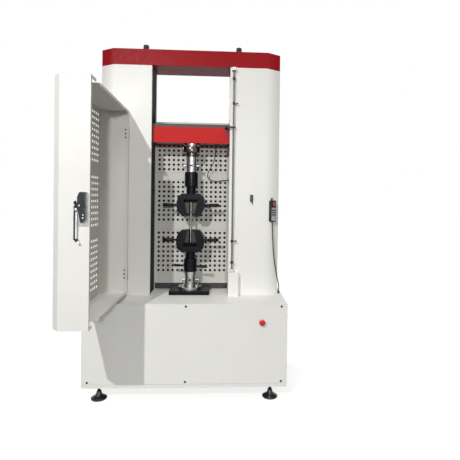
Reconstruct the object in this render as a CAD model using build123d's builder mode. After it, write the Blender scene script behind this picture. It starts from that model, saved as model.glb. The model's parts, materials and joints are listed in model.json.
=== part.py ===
from build123d import *
import os
from math import cos, degrees, hypot, pi, radians, sin, tan

os.makedirs("parts", exist_ok=True)

# Universal testing machine with a hinged guard door, at its real size in millimetres.
# The origin is on the floor under the loading axis: +X to the right, +Y to the back, +Z up.
# It is drawn at rest with the guard door swung open to 90 degrees.

# Cabinet
sheet = 3.0
base_margin = 29.0
base_depth = 730.0
base_bottom = 82.0
plinth_height = 22.0
panel_gap = 2.0
base_top = 636.0
frame_bar = 60.0
plinth_bar = 90.0
table_end_gap = 37.0
table_depth = 370.0
table_height = 70.0
tray_width = 280.0
tray_x = -340.0

# Columns and crown
test_width = 560.0
column_face = 273.0
chamfer_width = 95.0
column_half_depth = 115.0
chamfer_depth = 57.0
column_top = 2283.0
crown_height = 115.0
bellows_opening = 196.0
bellows_thickness = 10.0
cap_radius = 21.0
cap_height = 68.0

# Drive
screw_inset = 64.0
screw_radius = 20.0
guide_pitch = 106.0
guide_radius = 32.0
upper_beam_end = 90.0
upper_beam_depth = 200.0
upper_beam_height = 100.0
screw_in_beam = 60.0
pulley_radius = 80.0
pulley_height = 30.0
pulley_drop = 25.0
drive_pulley_radius = 40.0
drive_y = 110.0
belt_thickness = 3.0
motor_width = 150.0
motor_height = 250.0
motor_plate = 12.0
pillar_radius = 12.0
drive_box_height = 260.0

# Crosshead
beam_bottom = 1742.0
beam_height = 136.0
beam_depth = 124.0
beam_end = 65.0
cover_gap = 4.0
cover_height = 117.0
cover_drop = 3.5
cover_lip = 8.0
nut_radius = 34.0
bush_radius = 46.0
nut_flange = 12.0

# Loading train, each height measured along the axis
cell_flange_radius = 57.5
cell_flange_height = 14.0
cell_neck_height = 11.0
cell_neck_radius = 42.0
cell_radius = 63.5
cell_height = 45.0
ring_radius = 41.0
ring_height = 30.0
adapter_radius = 37.0
adapter_height = 112.0
spigot_radius = 26.0
adapter_pin_radius = 10.0
adapter_pin_length = 122.0
pin_hole_radius = 9.0
pin_hole_depth = 22.0
sleeve_radius = 49.0
sleeve_height = 110.0
lower_sleeve_height = 100.0
tommy_radius = 7.0
tommy_length = 262.0
tommy_turn = 15.0
neck_radius = 35.0
neck_height = 50.0
grip_radius = 103.5
grip_height = 160.0
grip_depth = 110.0
band_height = 26.0
band_step = 4.0
band_from_top = 14.0
grip_gap = 110.0
collar_height = 22.0
collar_radius = 42.0
lower_post_height = 67.0
lower_flange_radius = 88.0
lower_flange_height = 18.0
lower_ring_radius = 46.0
lower_ring_height = 14.0
plate_width = 290.0
plate_depth = 228.0
plate_seat = 10.0
plate_thickness = 28.0
plate_bolt_circle = 140.0
plate_bolt_radius = 8.0
plate_bolt_head = 13.0

# Wedge jaws and specimen
wedge_angle = 12.0
pocket_mouth = 27.0
pocket_height = 116.0
pocket_depth = 86.0
jaw_height = 84.0
jaw_depth = 70.0
jaw_travel = 24.0
handle_radius = 8.0
handle_grip_radius = 13.0
handle_end_x = 209.0
handle_grip_length = 78.0
handle_drop = 5.0
specimen_radius = 10.0
gauge_radius = 7.0
specimen_held = 94.0
shoulder = 14.0
fit = 0.3
shaft_fit = 0.1

# Limit rod on the right column
rod_inset = 26.0
rod_stand_off = 28.0
rod_radius = 5.0
rod_top = 2275.0
rod_travel = 6.0
bracket_size = 26.0
bracket_height = 22.0
bracket_gap = 2.0
collar_rod_radius = 11.0
collar_rod_height = 18.0
fixed_collar_heights = (2196.0, 878.0)
stop_collar_heights = (2018.0, 1032.0)
thumb_radius = 5.0
thumb_length = 22.0
follower_thickness = 8.0
follower_height = 36.0
follower_z = 1849.0
switch_width = 72.0
switch_height = 173.0
switch_depth = 50.0
switch_sheet = 2.0
keeper_gap = 16.0
keeper_z = 1340.0
keeper_width = 22.0
keeper_height = 52.0
keeper_reach = 12.0
keeper_bar = 3.0

# Back guard
guard_bottom = 680.0
guard_seams = (1093.5, 1535.0)
guard_top = 1923.0
guard_sheet = 2.0
hole_pitch = 36.2
hole_radius = 10.0
hole_rows = 9
guard_row_middles = (923.0, 1314.0, 1703.0)
rail_depth = 20.0

# Guard door, drawn open: u runs from the hinge towards the viewer, v across the pan
door_length = 861.0
door_depth = 193.0
door_bottom = 656.0
door_height = 1294.0
door_sheet = 2.0
door_inset = 155.0
hinge_offset = 7.0
door_column_gap = 2.0
end_chamfer = 39.0
hinge_chamfer = 56.0
lip_width = 18.0
front_border = 34.0
door_pitch = 40.0
door_columns = 18
door_row_middles = (882.0, 1308.0, 1742.0)
rod_notch_width = 66.0
rod_notch_depth = 46.0
switch_notch_margin = 25.0
switch_notch_reach = 10.0
hinge_heights = (791.0, 1788.0)
hinge_length = 100.0
hinge_leaf = 3.0
hinge_width = 46.0
hinge_pin_radius = 5.0
latch_v = 34.0
latch_width = 46.0
latch_top = 1356.0
latch_body_height = 155.0
latch_depth = 30.0
latch_plate = 3.0
lever_v = 66.0
lever_pivot_drop = 73.0
lever_width = 20.0
lever_length = 160.0
lever_thickness = 8.0

# Controls
estop_inset = 171.0
estop_z = 516.0
estop_radius = 20.5
estop_cap = 14.0
estop_stem_radius = 6.0
estop_travel = 4.5
estop_collar_radius = 16.0
estop_collar_height = 8.0
estop_hole_radius = 11.0
pendant_width = 44.0
pendant_height = 153.0
pendant_depth = 27.0
pendant_stand_off = 7.0
pendant_z = 1250.0
pendant_shift = -14.0
key_width = 13.0
key_height = 9.0
key_travel = 1.5
key_stand = 3.0
key_pocket = 7.0
stop_key_radius = 8.0
hook_radius = 3.0

# Feet and fasteners
foot_inset_x = 108.0
foot_inset_y = 39.0
foot_radius = 52.0
foot_pad_height = 10.0
foot_bell_height = 42.0
stem_radius = 10.0
screw_head_radius = 6.5
screw_head_height = 4.0
screw_shank_radius = 3.0
screw_length = 14.0
panel_screw_side = 40.0
panel_screw_rise = 38.0
panel_screw_fall = 17.0

# Cords
gland_inset = 15.0
pendant_cord_diameter = 7.0
cell_cord_diameter = 6.0

# Places that follow from the sizes above
column_inner_x = test_width / 2
column_chamfer_x = column_inner_x + column_face
column_outer_x = column_chamfer_x + chamfer_width
half_width = column_outer_x + base_margin
base_width = 2 * half_width
screw_x = column_inner_x + screw_inset
guide_x = screw_x + guide_pitch
upper_beam_length = 2 * (guide_x + upper_beam_end)
beam_length = 2 * (guide_x + beam_end)
cover_half_width = column_inner_x - cover_gap
table_length = base_width - 2 * table_end_gap
rod_x = column_inner_x + rod_inset
half_depth = base_depth / 2
front_y = -half_depth
column_front = -column_half_depth
crown_top = column_top + crown_height
chamfer_y = column_front + chamfer_depth
table_top = base_top - sheet
table_bottom = table_top - table_height
beam_top = beam_bottom + beam_height
pulley_top = table_bottom - pulley_drop
pulley_bottom = pulley_top - pulley_height
upper_beam_bottom = column_top + sheet
rod_y = column_front - rod_stand_off
half_opening = bellows_opening / 2
estop_x = half_width - estop_inset
foot_x = half_width - foot_inset_x
foot_y = half_depth - foot_inset_y
panel_screw_x = half_width - panel_screw_side
panel_screw_low = base_bottom + panel_screw_rise
panel_screw_high = base_top - panel_screw_fall
lever_pivot_z = latch_top - lever_pivot_drop
hole_columns = 1 + int((test_width - 4 * hole_radius) / hole_pitch)

# Loading train levels, from the crosshead down and from the table up
cell_flange_bottom = beam_bottom - cell_flange_height
cell_top = cell_flange_bottom - cell_neck_height
cell_bottom = cell_top - cell_height
ring_bottom = cell_bottom - ring_height
upper_sleeve_top = ring_bottom - adapter_height
upper_sleeve_bottom = upper_sleeve_top - sleeve_height
upper_grip_top = upper_sleeve_bottom - neck_height
upper_grip_bottom = upper_grip_top - grip_height
lower_grip_top = upper_grip_bottom - grip_gap
lower_grip_bottom = lower_grip_top - grip_height
lower_sleeve_top = lower_grip_bottom - neck_height
lower_sleeve_bottom = lower_sleeve_top - lower_sleeve_height
plate_top = base_top + plate_thickness
upper_grip_middle = (upper_grip_top + upper_grip_bottom) / 2
lower_grip_middle = (lower_grip_top + lower_grip_bottom) / 2

# Door places: the hinge line, the open door's faces and the closed door's start
door_open_x = -column_inner_x - door_inset
hinge_x = door_open_x - hinge_offset + door_column_gap
hinge_y = column_front - hinge_offset
door_start_y = hinge_y - hinge_offset
door_end_y = door_start_y - door_length
door_top = door_bottom + door_height
closed_start_x = hinge_x + hinge_offset
keeper_x = closed_start_x + door_length + keeper_gap


def block(x, y, z, mode=Mode.ADD):
    """Add a box that spans the given pairs of limits."""
    middle = ((x[0] + x[1]) / 2, (y[0] + y[1]) / 2, (z[0] + z[1]) / 2)
    with Locations(middle):
        Box(abs(x[1] - x[0]), abs(y[1] - y[0]), abs(z[1] - z[0]), mode=mode)


def upright(x, y, z, radius, mode=Mode.ADD):
    """Add a vertical cylinder between the two heights in z."""
    with Locations((x, y, (z[0] + z[1]) / 2)):
        Cylinder(radius, abs(z[1] - z[0]), mode=mode)


def across(x, y, z, radius, mode=Mode.ADD):
    """Add a cylinder along X between the two places in x."""
    with Locations(((x[0] + x[1]) / 2, y, z)):
        Cylinder(radius, abs(x[1] - x[0]), rotation=(0, 90, 0), mode=mode)


def inward(x, y, z, radius, mode=Mode.ADD):
    """Add a cylinder along Y between the two places in y."""
    with Locations((x, (y[0] + y[1]) / 2, z)):
        Cylinder(radius, abs(y[1] - y[0]), rotation=(90, 0, 0), mode=mode)


# The base frame: plinth, posts, rings and the table that carries the load
with BuildPart() as base_frame:
    block((-half_width, half_width), (-half_depth, half_depth), (base_bottom, base_bottom + plinth_height))
    inner_x = half_width - plinth_bar
    inner_y = half_depth - plinth_bar
    block((-inner_x, inner_x), (-inner_y, inner_y), (base_bottom, base_bottom + plinth_height), Mode.SUBTRACT)
    frame_x = half_width - sheet
    frame_y = half_depth - sheet
    ring_levels = (
        (base_bottom + plinth_height, base_bottom + plinth_height + frame_bar),
        (table_top - frame_bar, table_top),
    )
    for level in ring_levels:
        block((-frame_x, frame_x), (-frame_y, frame_y), level)
        block(
            (-frame_x + frame_bar, frame_x - frame_bar),
            (-frame_y + frame_bar, frame_y - frame_bar),
            level,
            Mode.SUBTRACT,
        )
    for side_x in (-1, 1):
        for side_y in (-1, 1):
            block(
                (side_x * (frame_x - frame_bar), side_x * frame_x),
                (side_y * (frame_y - frame_bar), side_y * frame_y),
                (base_bottom + plinth_height, table_top),
            )
    half_table = table_depth / 2
    block((-table_length / 2, table_length / 2), (-half_table, half_table), (table_bottom, table_top))
    for side_x in (-1, 1):
        block(
            (side_x * (frame_x - frame_bar), side_x * (frame_x - 2 * frame_bar)),
            (-frame_y, frame_y),
            (table_top - frame_bar, table_top),
        )
    pad_x = plate_width / 2 - plate_seat
    pad_y = plate_depth / 2 - plate_seat
    block((-pad_x, pad_x), (-pad_y, pad_y), (table_top, base_top))
    block(
        (tray_x - tray_width / 2, tray_x + tray_width / 2),
        (-frame_y, frame_y),
        (base_bottom + plinth_height, base_bottom + plinth_height + 2 * sheet),
    )
    for side in (-1, 1):
        upright(side * screw_x, 0, (table_bottom, table_top), screw_radius + shaft_fit, Mode.SUBTRACT)
        for row in (-1, 1):
            upright(
                side * foot_x,
                row * foot_y,
                (base_bottom, base_bottom + plinth_height + frame_bar / 2),
                stem_radius + shaft_fit,
                Mode.SUBTRACT,
            )
    for x in (-panel_screw_x, 0, panel_screw_x):
        for z in (panel_screw_low, panel_screw_high):
            inward(x, (-frame_y, -frame_y + screw_length), z, screw_shank_radius + shaft_fit, Mode.SUBTRACT)
base_frame.part.label = "base_frame"
export_step(base_frame.part, "parts/base_frame.step")

# The base cover: top, sides and rear in one folded shell, open below and in front
with BuildPart() as base_cover:
    shell_bottom = base_bottom + plinth_height + panel_gap
    block((-half_width, half_width), (-half_depth, half_depth), (shell_bottom, base_top))
    block(
        (-half_width + sheet, half_width - sheet),
        (-half_depth, half_depth - sheet),
        (shell_bottom, base_top - sheet),
        Mode.SUBTRACT,
    )
    front_span = (-half_depth, -half_depth + sheet)
    block((-half_width, half_width), front_span, (shell_bottom, table_top), Mode.SUBTRACT)
    block((-pad_x - 1, pad_x + 1), (-pad_y - 1, pad_y + 1), (table_top, base_top), Mode.SUBTRACT)
    for side in (-1, 1):
        block(
            (side * (screw_x - screw_radius - 15), side * (guide_x + guide_radius + 15)),
            (-guide_radius - 15, guide_radius + 15),
            (table_top, base_top),
            Mode.SUBTRACT,
        )
base_cover.part.label = "base_cover"
export_step(base_cover.part, "parts/base_cover.step")

# The front panel, with the hole for the emergency stop and its screw holes
with BuildPart() as base_front_panel:
    with BuildSketch(Plane.XZ.offset(half_depth - sheet)):
        with Locations((0, (shell_bottom + table_top) / 2)):
            Rectangle(base_width, table_top - shell_bottom)
        with Locations((estop_x, estop_z)):
            Circle(estop_hole_radius + shaft_fit, mode=Mode.SUBTRACT)
        for x in (-panel_screw_x, 0, panel_screw_x):
            for z in (panel_screw_low, panel_screw_high):
                with Locations((x, z)):
                    Circle(screw_shank_radius + shaft_fit, mode=Mode.SUBTRACT)
    extrude(amount=sheet)
base_front_panel.part.label = "base_front_panel"
export_step(base_front_panel.part, "parts/base_front_panel.step")

# Levelling feet with a bell-shaped pad and a threaded stem
with BuildPart() as levelling_feet:
    for side in (-1, 1):
        for row in (-1, 1):
            x = side * foot_x
            y = row * foot_y
            upright(x, y, (0, foot_pad_height), foot_radius)
            with Locations((x, y, foot_pad_height + foot_bell_height / 2)):
                Cone(foot_radius - 2, stem_radius + 4, foot_bell_height)
            upright(x, y, (foot_pad_height, base_bottom + plinth_height + frame_bar / 4), stem_radius)
levelling_feet.part.label = "levelling_feet"
export_step(levelling_feet.part, "parts/levelling_feet.step")

# Column covers: folded sheet, open towards the test space where the bellows close them
for name, side in (("left_column_cover", -1), ("right_column_cover", 1)):
    outline = [
        (column_inner_x, -half_opening),
        (column_inner_x, column_front),
        (column_chamfer_x, column_front),
        (column_outer_x, chamfer_y),
        (column_outer_x, column_half_depth),
        (column_inner_x, column_half_depth),
        (column_inner_x, half_opening),
        (column_inner_x + sheet, half_opening),
        (column_inner_x + sheet, column_half_depth - sheet),
        (column_outer_x - sheet, column_half_depth - sheet),
        (column_outer_x - sheet, chamfer_y + sheet / 2),
        (column_chamfer_x - sheet / 2, column_front + sheet),
        (column_inner_x + sheet, column_front + sheet),
        (column_inner_x + sheet, -half_opening),
    ]
    with BuildPart() as column_cover:
        with BuildSketch(Plane.XY.offset(base_top)):
            Polygon(*[(side * x, y) for x, y in outline], align=None)
        extrude(amount=column_top - base_top)
    column_cover.part.label = name
    export_step(column_cover.part, "parts/" + name + ".step")

# Guide columns between the table and the upper beam
with BuildPart() as guide_columns:
    for side in (-1, 1):
        upright(side * guide_x, 0, (table_top, upper_beam_bottom), guide_radius)
guide_columns.part.label = "guide_columns"
export_step(guide_columns.part, "parts/guide_columns.step")

# Upper beam that ties the guide columns and holds the screws' top bearings
with BuildPart() as upper_beam:
    block(
        (-upper_beam_length / 2, upper_beam_length / 2),
        (-upper_beam_depth / 2, upper_beam_depth / 2),
        (upper_beam_bottom, upper_beam_bottom + upper_beam_height),
    )
    for side in (-1, 1):
        upright(
            side * screw_x,
            0,
            (upper_beam_bottom, upper_beam_bottom + screw_in_beam + 1),
            screw_radius + shaft_fit,
            Mode.SUBTRACT,
        )
upper_beam.part.label = "upper_beam"
export_step(upper_beam.part, "parts/upper_beam.step")

# Crown cover: a folded sheet box over the upper beam
crown_outline = [
    (-column_outer_x, chamfer_y),
    (-column_chamfer_x, column_front),
    (column_chamfer_x, column_front),
    (column_outer_x, chamfer_y),
    (column_outer_x, column_half_depth),
    (-column_outer_x, column_half_depth),
]
with BuildPart() as crown_cover:
    with BuildSketch(Plane.XY.offset(column_top)):
        Polygon(*crown_outline, align=None)
    extrude(amount=crown_height)
    with BuildSketch(Plane.XY.offset(column_top + sheet)):
        Polygon(*crown_outline, align=None)
        offset(amount=-sheet)
    extrude(amount=crown_height - 2 * sheet, mode=Mode.SUBTRACT)
    for side in (-1, 1):
        block(
            (side * (screw_x - screw_radius - 15), side * (guide_x + guide_radius + 15)),
            (-guide_radius - 15, guide_radius + 15),
            (column_top, column_top + sheet),
            Mode.SUBTRACT,
        )
crown_cover.part.label = "crown_cover"
export_step(crown_cover.part, "parts/crown_cover.step")

# Caps over the screw ends, on top of the crown
with BuildPart() as screw_end_caps:
    for side in (-1, 1):
        upright(side * screw_x, 0, (crown_top, crown_top + cap_height), cap_radius)
    fillet(screw_end_caps.edges().group_by(Axis.Z)[-1], cap_radius / 5)
screw_end_caps.part.label = "screw_end_caps"
export_step(screw_end_caps.part, "parts/screw_end_caps.step")

# Bellows that close the columns above and below the crosshead's arms
bellows_front = column_inner_x + sheet + fit
for name, z in (
    ("bellows_upper", (beam_top + fit, column_top)),
    ("bellows_lower", (base_top, beam_bottom - fit)),
):
    with BuildPart() as bellows:
        for side in (-1, 1):
            block(
                (side * bellows_front, side * (bellows_front + bellows_thickness)),
                (-half_opening - 8, half_opening + 8),
                z,
            )
    bellows.part.label = name
    export_step(bellows.part, "parts/" + name + ".step")

# Ball screws with their pulleys, each one turning in the table and the upper beam
for name, side in (("left_ball_screw", -1), ("right_ball_screw", 1)):
    with BuildPart() as ball_screw:
        upright(side * screw_x, 0, (pulley_bottom, upper_beam_bottom + screw_in_beam), screw_radius)
        upright(side * screw_x, 0, (pulley_bottom, pulley_top), pulley_radius)
        upright(side * screw_x, 0, (pulley_top, table_bottom - fit), screw_radius + 14)
    ball_screw.part.label = name
    export_step(ball_screw.part, "parts/" + name + ".step")

# The motor with its plate, hung under the table on four pillars
motor_top = pulley_bottom - 18
with BuildPart() as servo_motor:
    half_motor = motor_width / 2
    motor_depth = (drive_y - half_motor, drive_y + half_motor)
    block((-half_motor, half_motor), motor_depth, (motor_top - motor_height, motor_top))
    chamfer(servo_motor.edges().filter_by(Axis.Z), motor_width / 10)
    plate_half = half_motor + 2 * pillar_radius
    plate_span = (drive_y - plate_half, drive_y + plate_half)
    block((-plate_half, plate_half), plate_span, (motor_top, motor_top + motor_plate))
    for side_x in (-1, 1):
        for side_y in (-1, 1):
            upright(
                side_x * (plate_half - pillar_radius - 2),
                drive_y + side_y * (plate_half - pillar_radius - 2),
                (motor_top + motor_plate, table_bottom),
                pillar_radius,
            )
    shaft_hole = (motor_top - 40, motor_top + motor_plate)
    upright(0, drive_y, shaft_hole, screw_radius / 2 + shaft_fit, Mode.SUBTRACT)
servo_motor.part.label = "servo_motor"
export_step(servo_motor.part, "parts/servo_motor.step")

# The drive pulley on the motor's shaft
with BuildPart() as drive_pulley:
    upright(0, drive_y, (pulley_bottom, pulley_top), drive_pulley_radius)
    upright(0, drive_y, (motor_top - 39, pulley_bottom), screw_radius / 2)
drive_pulley.part.label = "drive_pulley"
export_step(drive_pulley.part, "parts/drive_pulley.step")

# The timing belt round the three pulleys
with BuildPart() as timing_belt:
    with BuildSketch(Plane.XY.offset(pulley_bottom + 2)) as belt_outside:
        for x, y, radius in (
            (-screw_x, 0, pulley_radius),
            (screw_x, 0, pulley_radius),
            (0, drive_y, drive_pulley_radius),
        ):
            with Locations((x, y)):
                Circle(radius + fit + belt_thickness)
        make_hull()
        offset(amount=-belt_thickness, mode=Mode.SUBTRACT)
    extrude(amount=pulley_height - 4)
timing_belt.part.label = "timing_belt"
export_step(timing_belt.part, "parts/timing_belt.step")

# The servo drive on its tray in the base
tray_top = base_bottom + plinth_height + 2 * sheet
with BuildPart() as servo_drive:
    block(
        (tray_x - tray_width / 3, tray_x + tray_width / 3),
        (-table_depth / 4, table_depth / 4),
        (tray_top, tray_top + drive_box_height),
    )
    fillet(servo_drive.edges().filter_by(Axis.Z), 6)
servo_drive.part.label = "servo_drive"
export_step(servo_drive.part, "parts/servo_drive.step")

# The crosshead beam, with bores for the screw nuts and the guide bushes
with BuildPart() as crosshead_beam:
    block((-beam_length / 2, beam_length / 2), (-beam_depth / 2, beam_depth / 2), (beam_bottom, beam_top))
    for side in (-1, 1):
        upright(side * screw_x, 0, (beam_bottom, beam_top), nut_radius, Mode.SUBTRACT)
        upright(side * guide_x, 0, (beam_bottom, beam_top), bush_radius, Mode.SUBTRACT)
crosshead_beam.part.label = "crosshead_beam"
export_step(crosshead_beam.part, "parts/crosshead_beam.step")

# Ball nuts and guide bushes, flanged on top of the beam
with BuildPart() as nuts_and_bushes:
    for side in (-1, 1):
        upright(side * screw_x, 0, (beam_bottom, beam_top), nut_radius)
        upright(side * screw_x, 0, (beam_top, beam_top + nut_flange), nut_radius + 10)
        upright(side * screw_x, 0, (beam_bottom, beam_top + nut_flange), screw_radius + fit, Mode.SUBTRACT)
        upright(side * guide_x, 0, (beam_bottom, beam_top), bush_radius)
        upright(side * guide_x, 0, (beam_top, beam_top + nut_flange), bush_radius + 9)
        bore = guide_radius + shaft_fit
        upright(side * guide_x, 0, (beam_bottom, beam_top + nut_flange), bore, Mode.SUBTRACT)
nuts_and_bushes.part.label = "nuts_and_bushes"
export_step(nuts_and_bushes.part, "parts/nuts_and_bushes.step")

# The crosshead's front and rear covers, folded back over the beam's faces
cover_bottom = beam_bottom - cover_drop
cover_top = cover_bottom + cover_height
with BuildPart() as crosshead_cover:
    for face in (-1, 1):
        near = face * beam_depth / 2
        far = face * (beam_depth / 2 + cover_lip)
        block((-cover_half_width, cover_half_width), (near, far), (cover_bottom, cover_top))
        block(
            (-cover_half_width + sheet, cover_half_width - sheet),
            (near, face * (beam_depth / 2 + cover_lip - sheet)),
            (cover_bottom + sheet, cover_top - sheet),
            Mode.SUBTRACT,
        )
crosshead_cover.part.label = "crosshead_cover"
export_step(crosshead_cover.part, "parts/crosshead_cover.step")

# The follower arm: it reaches round the column's edge and forks over the limit rod
cover_front = -(beam_depth / 2 + cover_lip)
with BuildPart() as follower_arm:
    low = follower_z - follower_thickness / 2
    high = follower_z + follower_thickness / 2
    arm_x = cover_half_width - 20
    block((arm_x - 11, arm_x + 11), (cover_front - 4, cover_front), (low - follower_height + 8, high))
    block((arm_x - 11, arm_x + 11), (rod_y - 12, cover_front), (low, high))
    block((arm_x - 11, rod_x + 16), (rod_y - 12, rod_y + 12), (low, high))
    upright(rod_x, rod_y, (low, high), rod_radius + 1, Mode.SUBTRACT)
follower_arm.part.label = "follower_arm"
export_step(follower_arm.part, "parts/follower_arm.step")

# Load cell: flange, necked body and the ring under it
with BuildPart() as load_cell:
    upright(0, 0, (cell_flange_bottom, beam_bottom), cell_flange_radius)
    upright(0, 0, (cell_top, cell_flange_bottom), cell_neck_radius)
    upright(0, 0, (cell_bottom, cell_top), cell_radius)
    upright(0, 0, (ring_bottom, cell_bottom), ring_radius)
load_cell.part.label = "load_cell"
export_step(load_cell.part, "parts/load_cell.step")

# Upper adapter with its spigot through the lock sleeve, and its cross pin
specimen_bore = specimen_radius + 3
upper_pin_z = (ring_bottom + upper_sleeve_top) / 2 - 8
with BuildPart() as upper_adapter:
    upright(0, 0, (upper_sleeve_top, ring_bottom), adapter_radius)
    upright(0, 0, (upper_sleeve_bottom, upper_sleeve_top), spigot_radius)
    upright(0, 0, (upper_sleeve_bottom, upper_sleeve_bottom + 50), specimen_bore, Mode.SUBTRACT)
    half_pin = adapter_pin_length / 2
    across((-half_pin, half_pin), 0, upper_pin_z, adapter_pin_radius)
    hole_span = (-adapter_radius - 1, pin_hole_depth - adapter_radius)
    inward(0, hole_span, upper_pin_z, pin_hole_radius, Mode.SUBTRACT)
upper_adapter.part.label = "upper_adapter"
export_step(upper_adapter.part, "parts/upper_adapter.step")

# Lower adapter: flange, ring, post with its cross pin, collar and spigot
lower_pin_z = plate_top + lower_flange_height + lower_ring_height + lower_post_height / 2
post_top = lower_sleeve_bottom - collar_height
with BuildPart() as lower_adapter:
    flange_top = plate_top + lower_flange_height
    upright(0, 0, (plate_top, flange_top), lower_flange_radius)
    upright(0, 0, (flange_top, flange_top + lower_ring_height), lower_ring_radius)
    upright(0, 0, (flange_top + lower_ring_height, post_top), adapter_radius)
    upright(0, 0, (post_top, lower_sleeve_bottom), collar_radius)
    upright(0, 0, (lower_sleeve_bottom, lower_sleeve_top), spigot_radius)
    half_pin = adapter_pin_length / 2
    across((-half_pin, half_pin), 0, lower_pin_z, adapter_pin_radius)
    inward(0, hole_span, lower_pin_z, pin_hole_radius, Mode.SUBTRACT)
    with BuildSketch(Plane.XY.offset(plate_top)):
        with PolarLocations(plate_bolt_circle / 2, 4, 45):
            Circle(plate_bolt_radius + shaft_fit)
    extrude(amount=lower_flange_height, mode=Mode.SUBTRACT)
lower_adapter.part.label = "lower_adapter"
export_step(lower_adapter.part, "parts/lower_adapter.step")

# The square plate under the lower adapter
plate_bolt_depth = 20.0
with BuildPart() as grip_base_plate:
    half_plate = plate_width / 2
    block((-half_plate, half_plate), (-plate_depth / 2, plate_depth / 2), (base_top, plate_top))
    chamfer(grip_base_plate.edges().group_by(Axis.Z)[-1], 2)
    with BuildSketch(Plane.XY.offset(plate_top - plate_bolt_depth)):
        with PolarLocations(plate_bolt_circle / 2, 4, 45):
            Circle(plate_bolt_radius + shaft_fit)
    extrude(amount=plate_bolt_depth, mode=Mode.SUBTRACT)
grip_base_plate.part.label = "grip_base_plate"
export_step(grip_base_plate.part, "parts/grip_base_plate.step")

# Machine screws: six in the front panel, four socket screws in the lower flange
with BuildPart() as machine_screws:
    for x in (-panel_screw_x, 0, panel_screw_x):
        for z in (panel_screw_low, panel_screw_high):
            inward(x, (front_y, front_y + sheet + screw_length - 1), z, screw_shank_radius)
            inward(x, (front_y - screw_head_height, front_y), z, screw_head_radius)
    with BuildSketch(Plane.XY.offset(plate_top - plate_bolt_depth)):
        with PolarLocations(plate_bolt_circle / 2, 4, 45):
            Circle(plate_bolt_radius)
    extrude(amount=plate_bolt_depth + lower_flange_height)
    with BuildSketch(Plane.XY.offset(flange_top)):
        with PolarLocations(plate_bolt_circle / 2, 4, 45):
            Circle(plate_bolt_head)
    extrude(amount=2 * plate_bolt_radius)
machine_screws.part.label = "machine_screws"
export_step(machine_screws.part, "parts/machine_screws.step")


def jaw_pocket(up):
    """Corners of the tapered pocket, as offsets from the grip's mouth; up is +1 for the upper grip."""
    rise = pocket_height * tan(radians(wedge_angle))
    return [
        (-pocket_mouth, 0),
        (pocket_mouth, 0),
        (pocket_mouth + rise, up * pocket_height),
        (-pocket_mouth - rise, up * pocket_height),
    ]


# Grip bodies: flat-topped discs with a tapered pocket, handle slots and a hollow neck
pocket_back = -grip_depth / 2 + pocket_depth
for name, up, middle in (
    ("upper_grip_body", 1, upper_grip_middle),
    ("lower_grip_body", -1, lower_grip_middle),
):
    mouth = middle - up * grip_height / 2
    back_end = middle + up * grip_height / 2
    handle_z = middle - up * handle_drop
    with BuildPart() as grip_body:
        with BuildSketch(Plane.XZ.offset(-grip_depth / 2)):
            with Locations((0, middle)):
                Circle(grip_radius)
                Rectangle(2 * grip_radius, grip_height, mode=Mode.INTERSECT)
        extrude(amount=grip_depth)
        band_z = back_end - up * (band_from_top + band_height / 2)
        with BuildSketch(Plane.XZ.offset(-grip_depth / 2 - band_step)):
            with Locations((0, middle)):
                Circle(grip_radius + band_step)
            with Locations((0, band_z)):
                Rectangle(2 * grip_radius + 2 * band_step, band_height, mode=Mode.INTERSECT)
        extrude(amount=grip_depth + 2 * band_step)
        upright(0, 0, (back_end, back_end + up * neck_height), neck_radius)
        with BuildSketch(Plane.XZ.offset(-pocket_back)):
            with Locations((0, mouth)):
                Polygon(*jaw_pocket(up), align=None)
        extrude(amount=pocket_depth + band_step, mode=Mode.SUBTRACT)
        slot_reach = (handle_z - up * (handle_radius + 2), handle_z + up * (jaw_travel + handle_radius + 2))
        block(
            (-grip_radius - 10, grip_radius + 10),
            (-handle_radius - 1, handle_radius + 1),
            slot_reach,
            Mode.SUBTRACT,
        )
        upright(0, 0, (mouth, back_end + up * neck_height), specimen_bore, Mode.SUBTRACT)
    grip_body.part.label = name
    export_step(grip_body.part, "parts/" + name + ".step")

# Wedge jaws, each with its handle bar out through the grip's side
jaw_face = specimen_radius + fit
jaw_back = pocket_back - fit
for grip_name, up, middle in (("upper", 1, upper_grip_middle), ("lower", -1, lower_grip_middle)):
    mouth = middle - up * grip_height / 2
    jaw_start = mouth + up * 8
    handle_z = middle - up * handle_drop
    slope = tan(radians(wedge_angle))
    for side_name, side in (("left", -1), ("right", 1)):
        near_back = pocket_mouth + 8 * slope - fit
        far_back = near_back + jaw_height * slope
        with BuildPart() as jaw:
            with BuildSketch(Plane.XZ.offset(-jaw_back)):
                Polygon(
                    (side * jaw_face, jaw_start),
                    (side * near_back, jaw_start),
                    (side * far_back, jaw_start + up * jaw_height),
                    (side * jaw_face, jaw_start + up * jaw_height),
                    align=None,
                )
            extrude(amount=jaw_depth)
            across((side * (jaw_face + 6), side * handle_end_x), 0, handle_z, handle_radius)
            grip_start = handle_end_x - handle_grip_length
            across((side * grip_start, side * handle_end_x), 0, handle_z, handle_grip_radius)
        name = grip_name + "_" + side_name + "_jaw"
        jaw.part.label = name
        export_step(jaw.part, "parts/" + name + ".step")

# The round tensile specimen, with thicker ends held in the jaws
with BuildPart() as specimen:
    top = upper_grip_bottom + specimen_held
    bottom = lower_grip_top - specimen_held
    upright(0, 0, (bottom, top), gauge_radius)
    upright(0, 0, (upper_grip_bottom - shoulder, top), specimen_radius)
    upright(0, 0, (bottom, lower_grip_top + shoulder), specimen_radius)
specimen.part.label = "specimen"
export_step(specimen.part, "parts/specimen.step")

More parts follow.
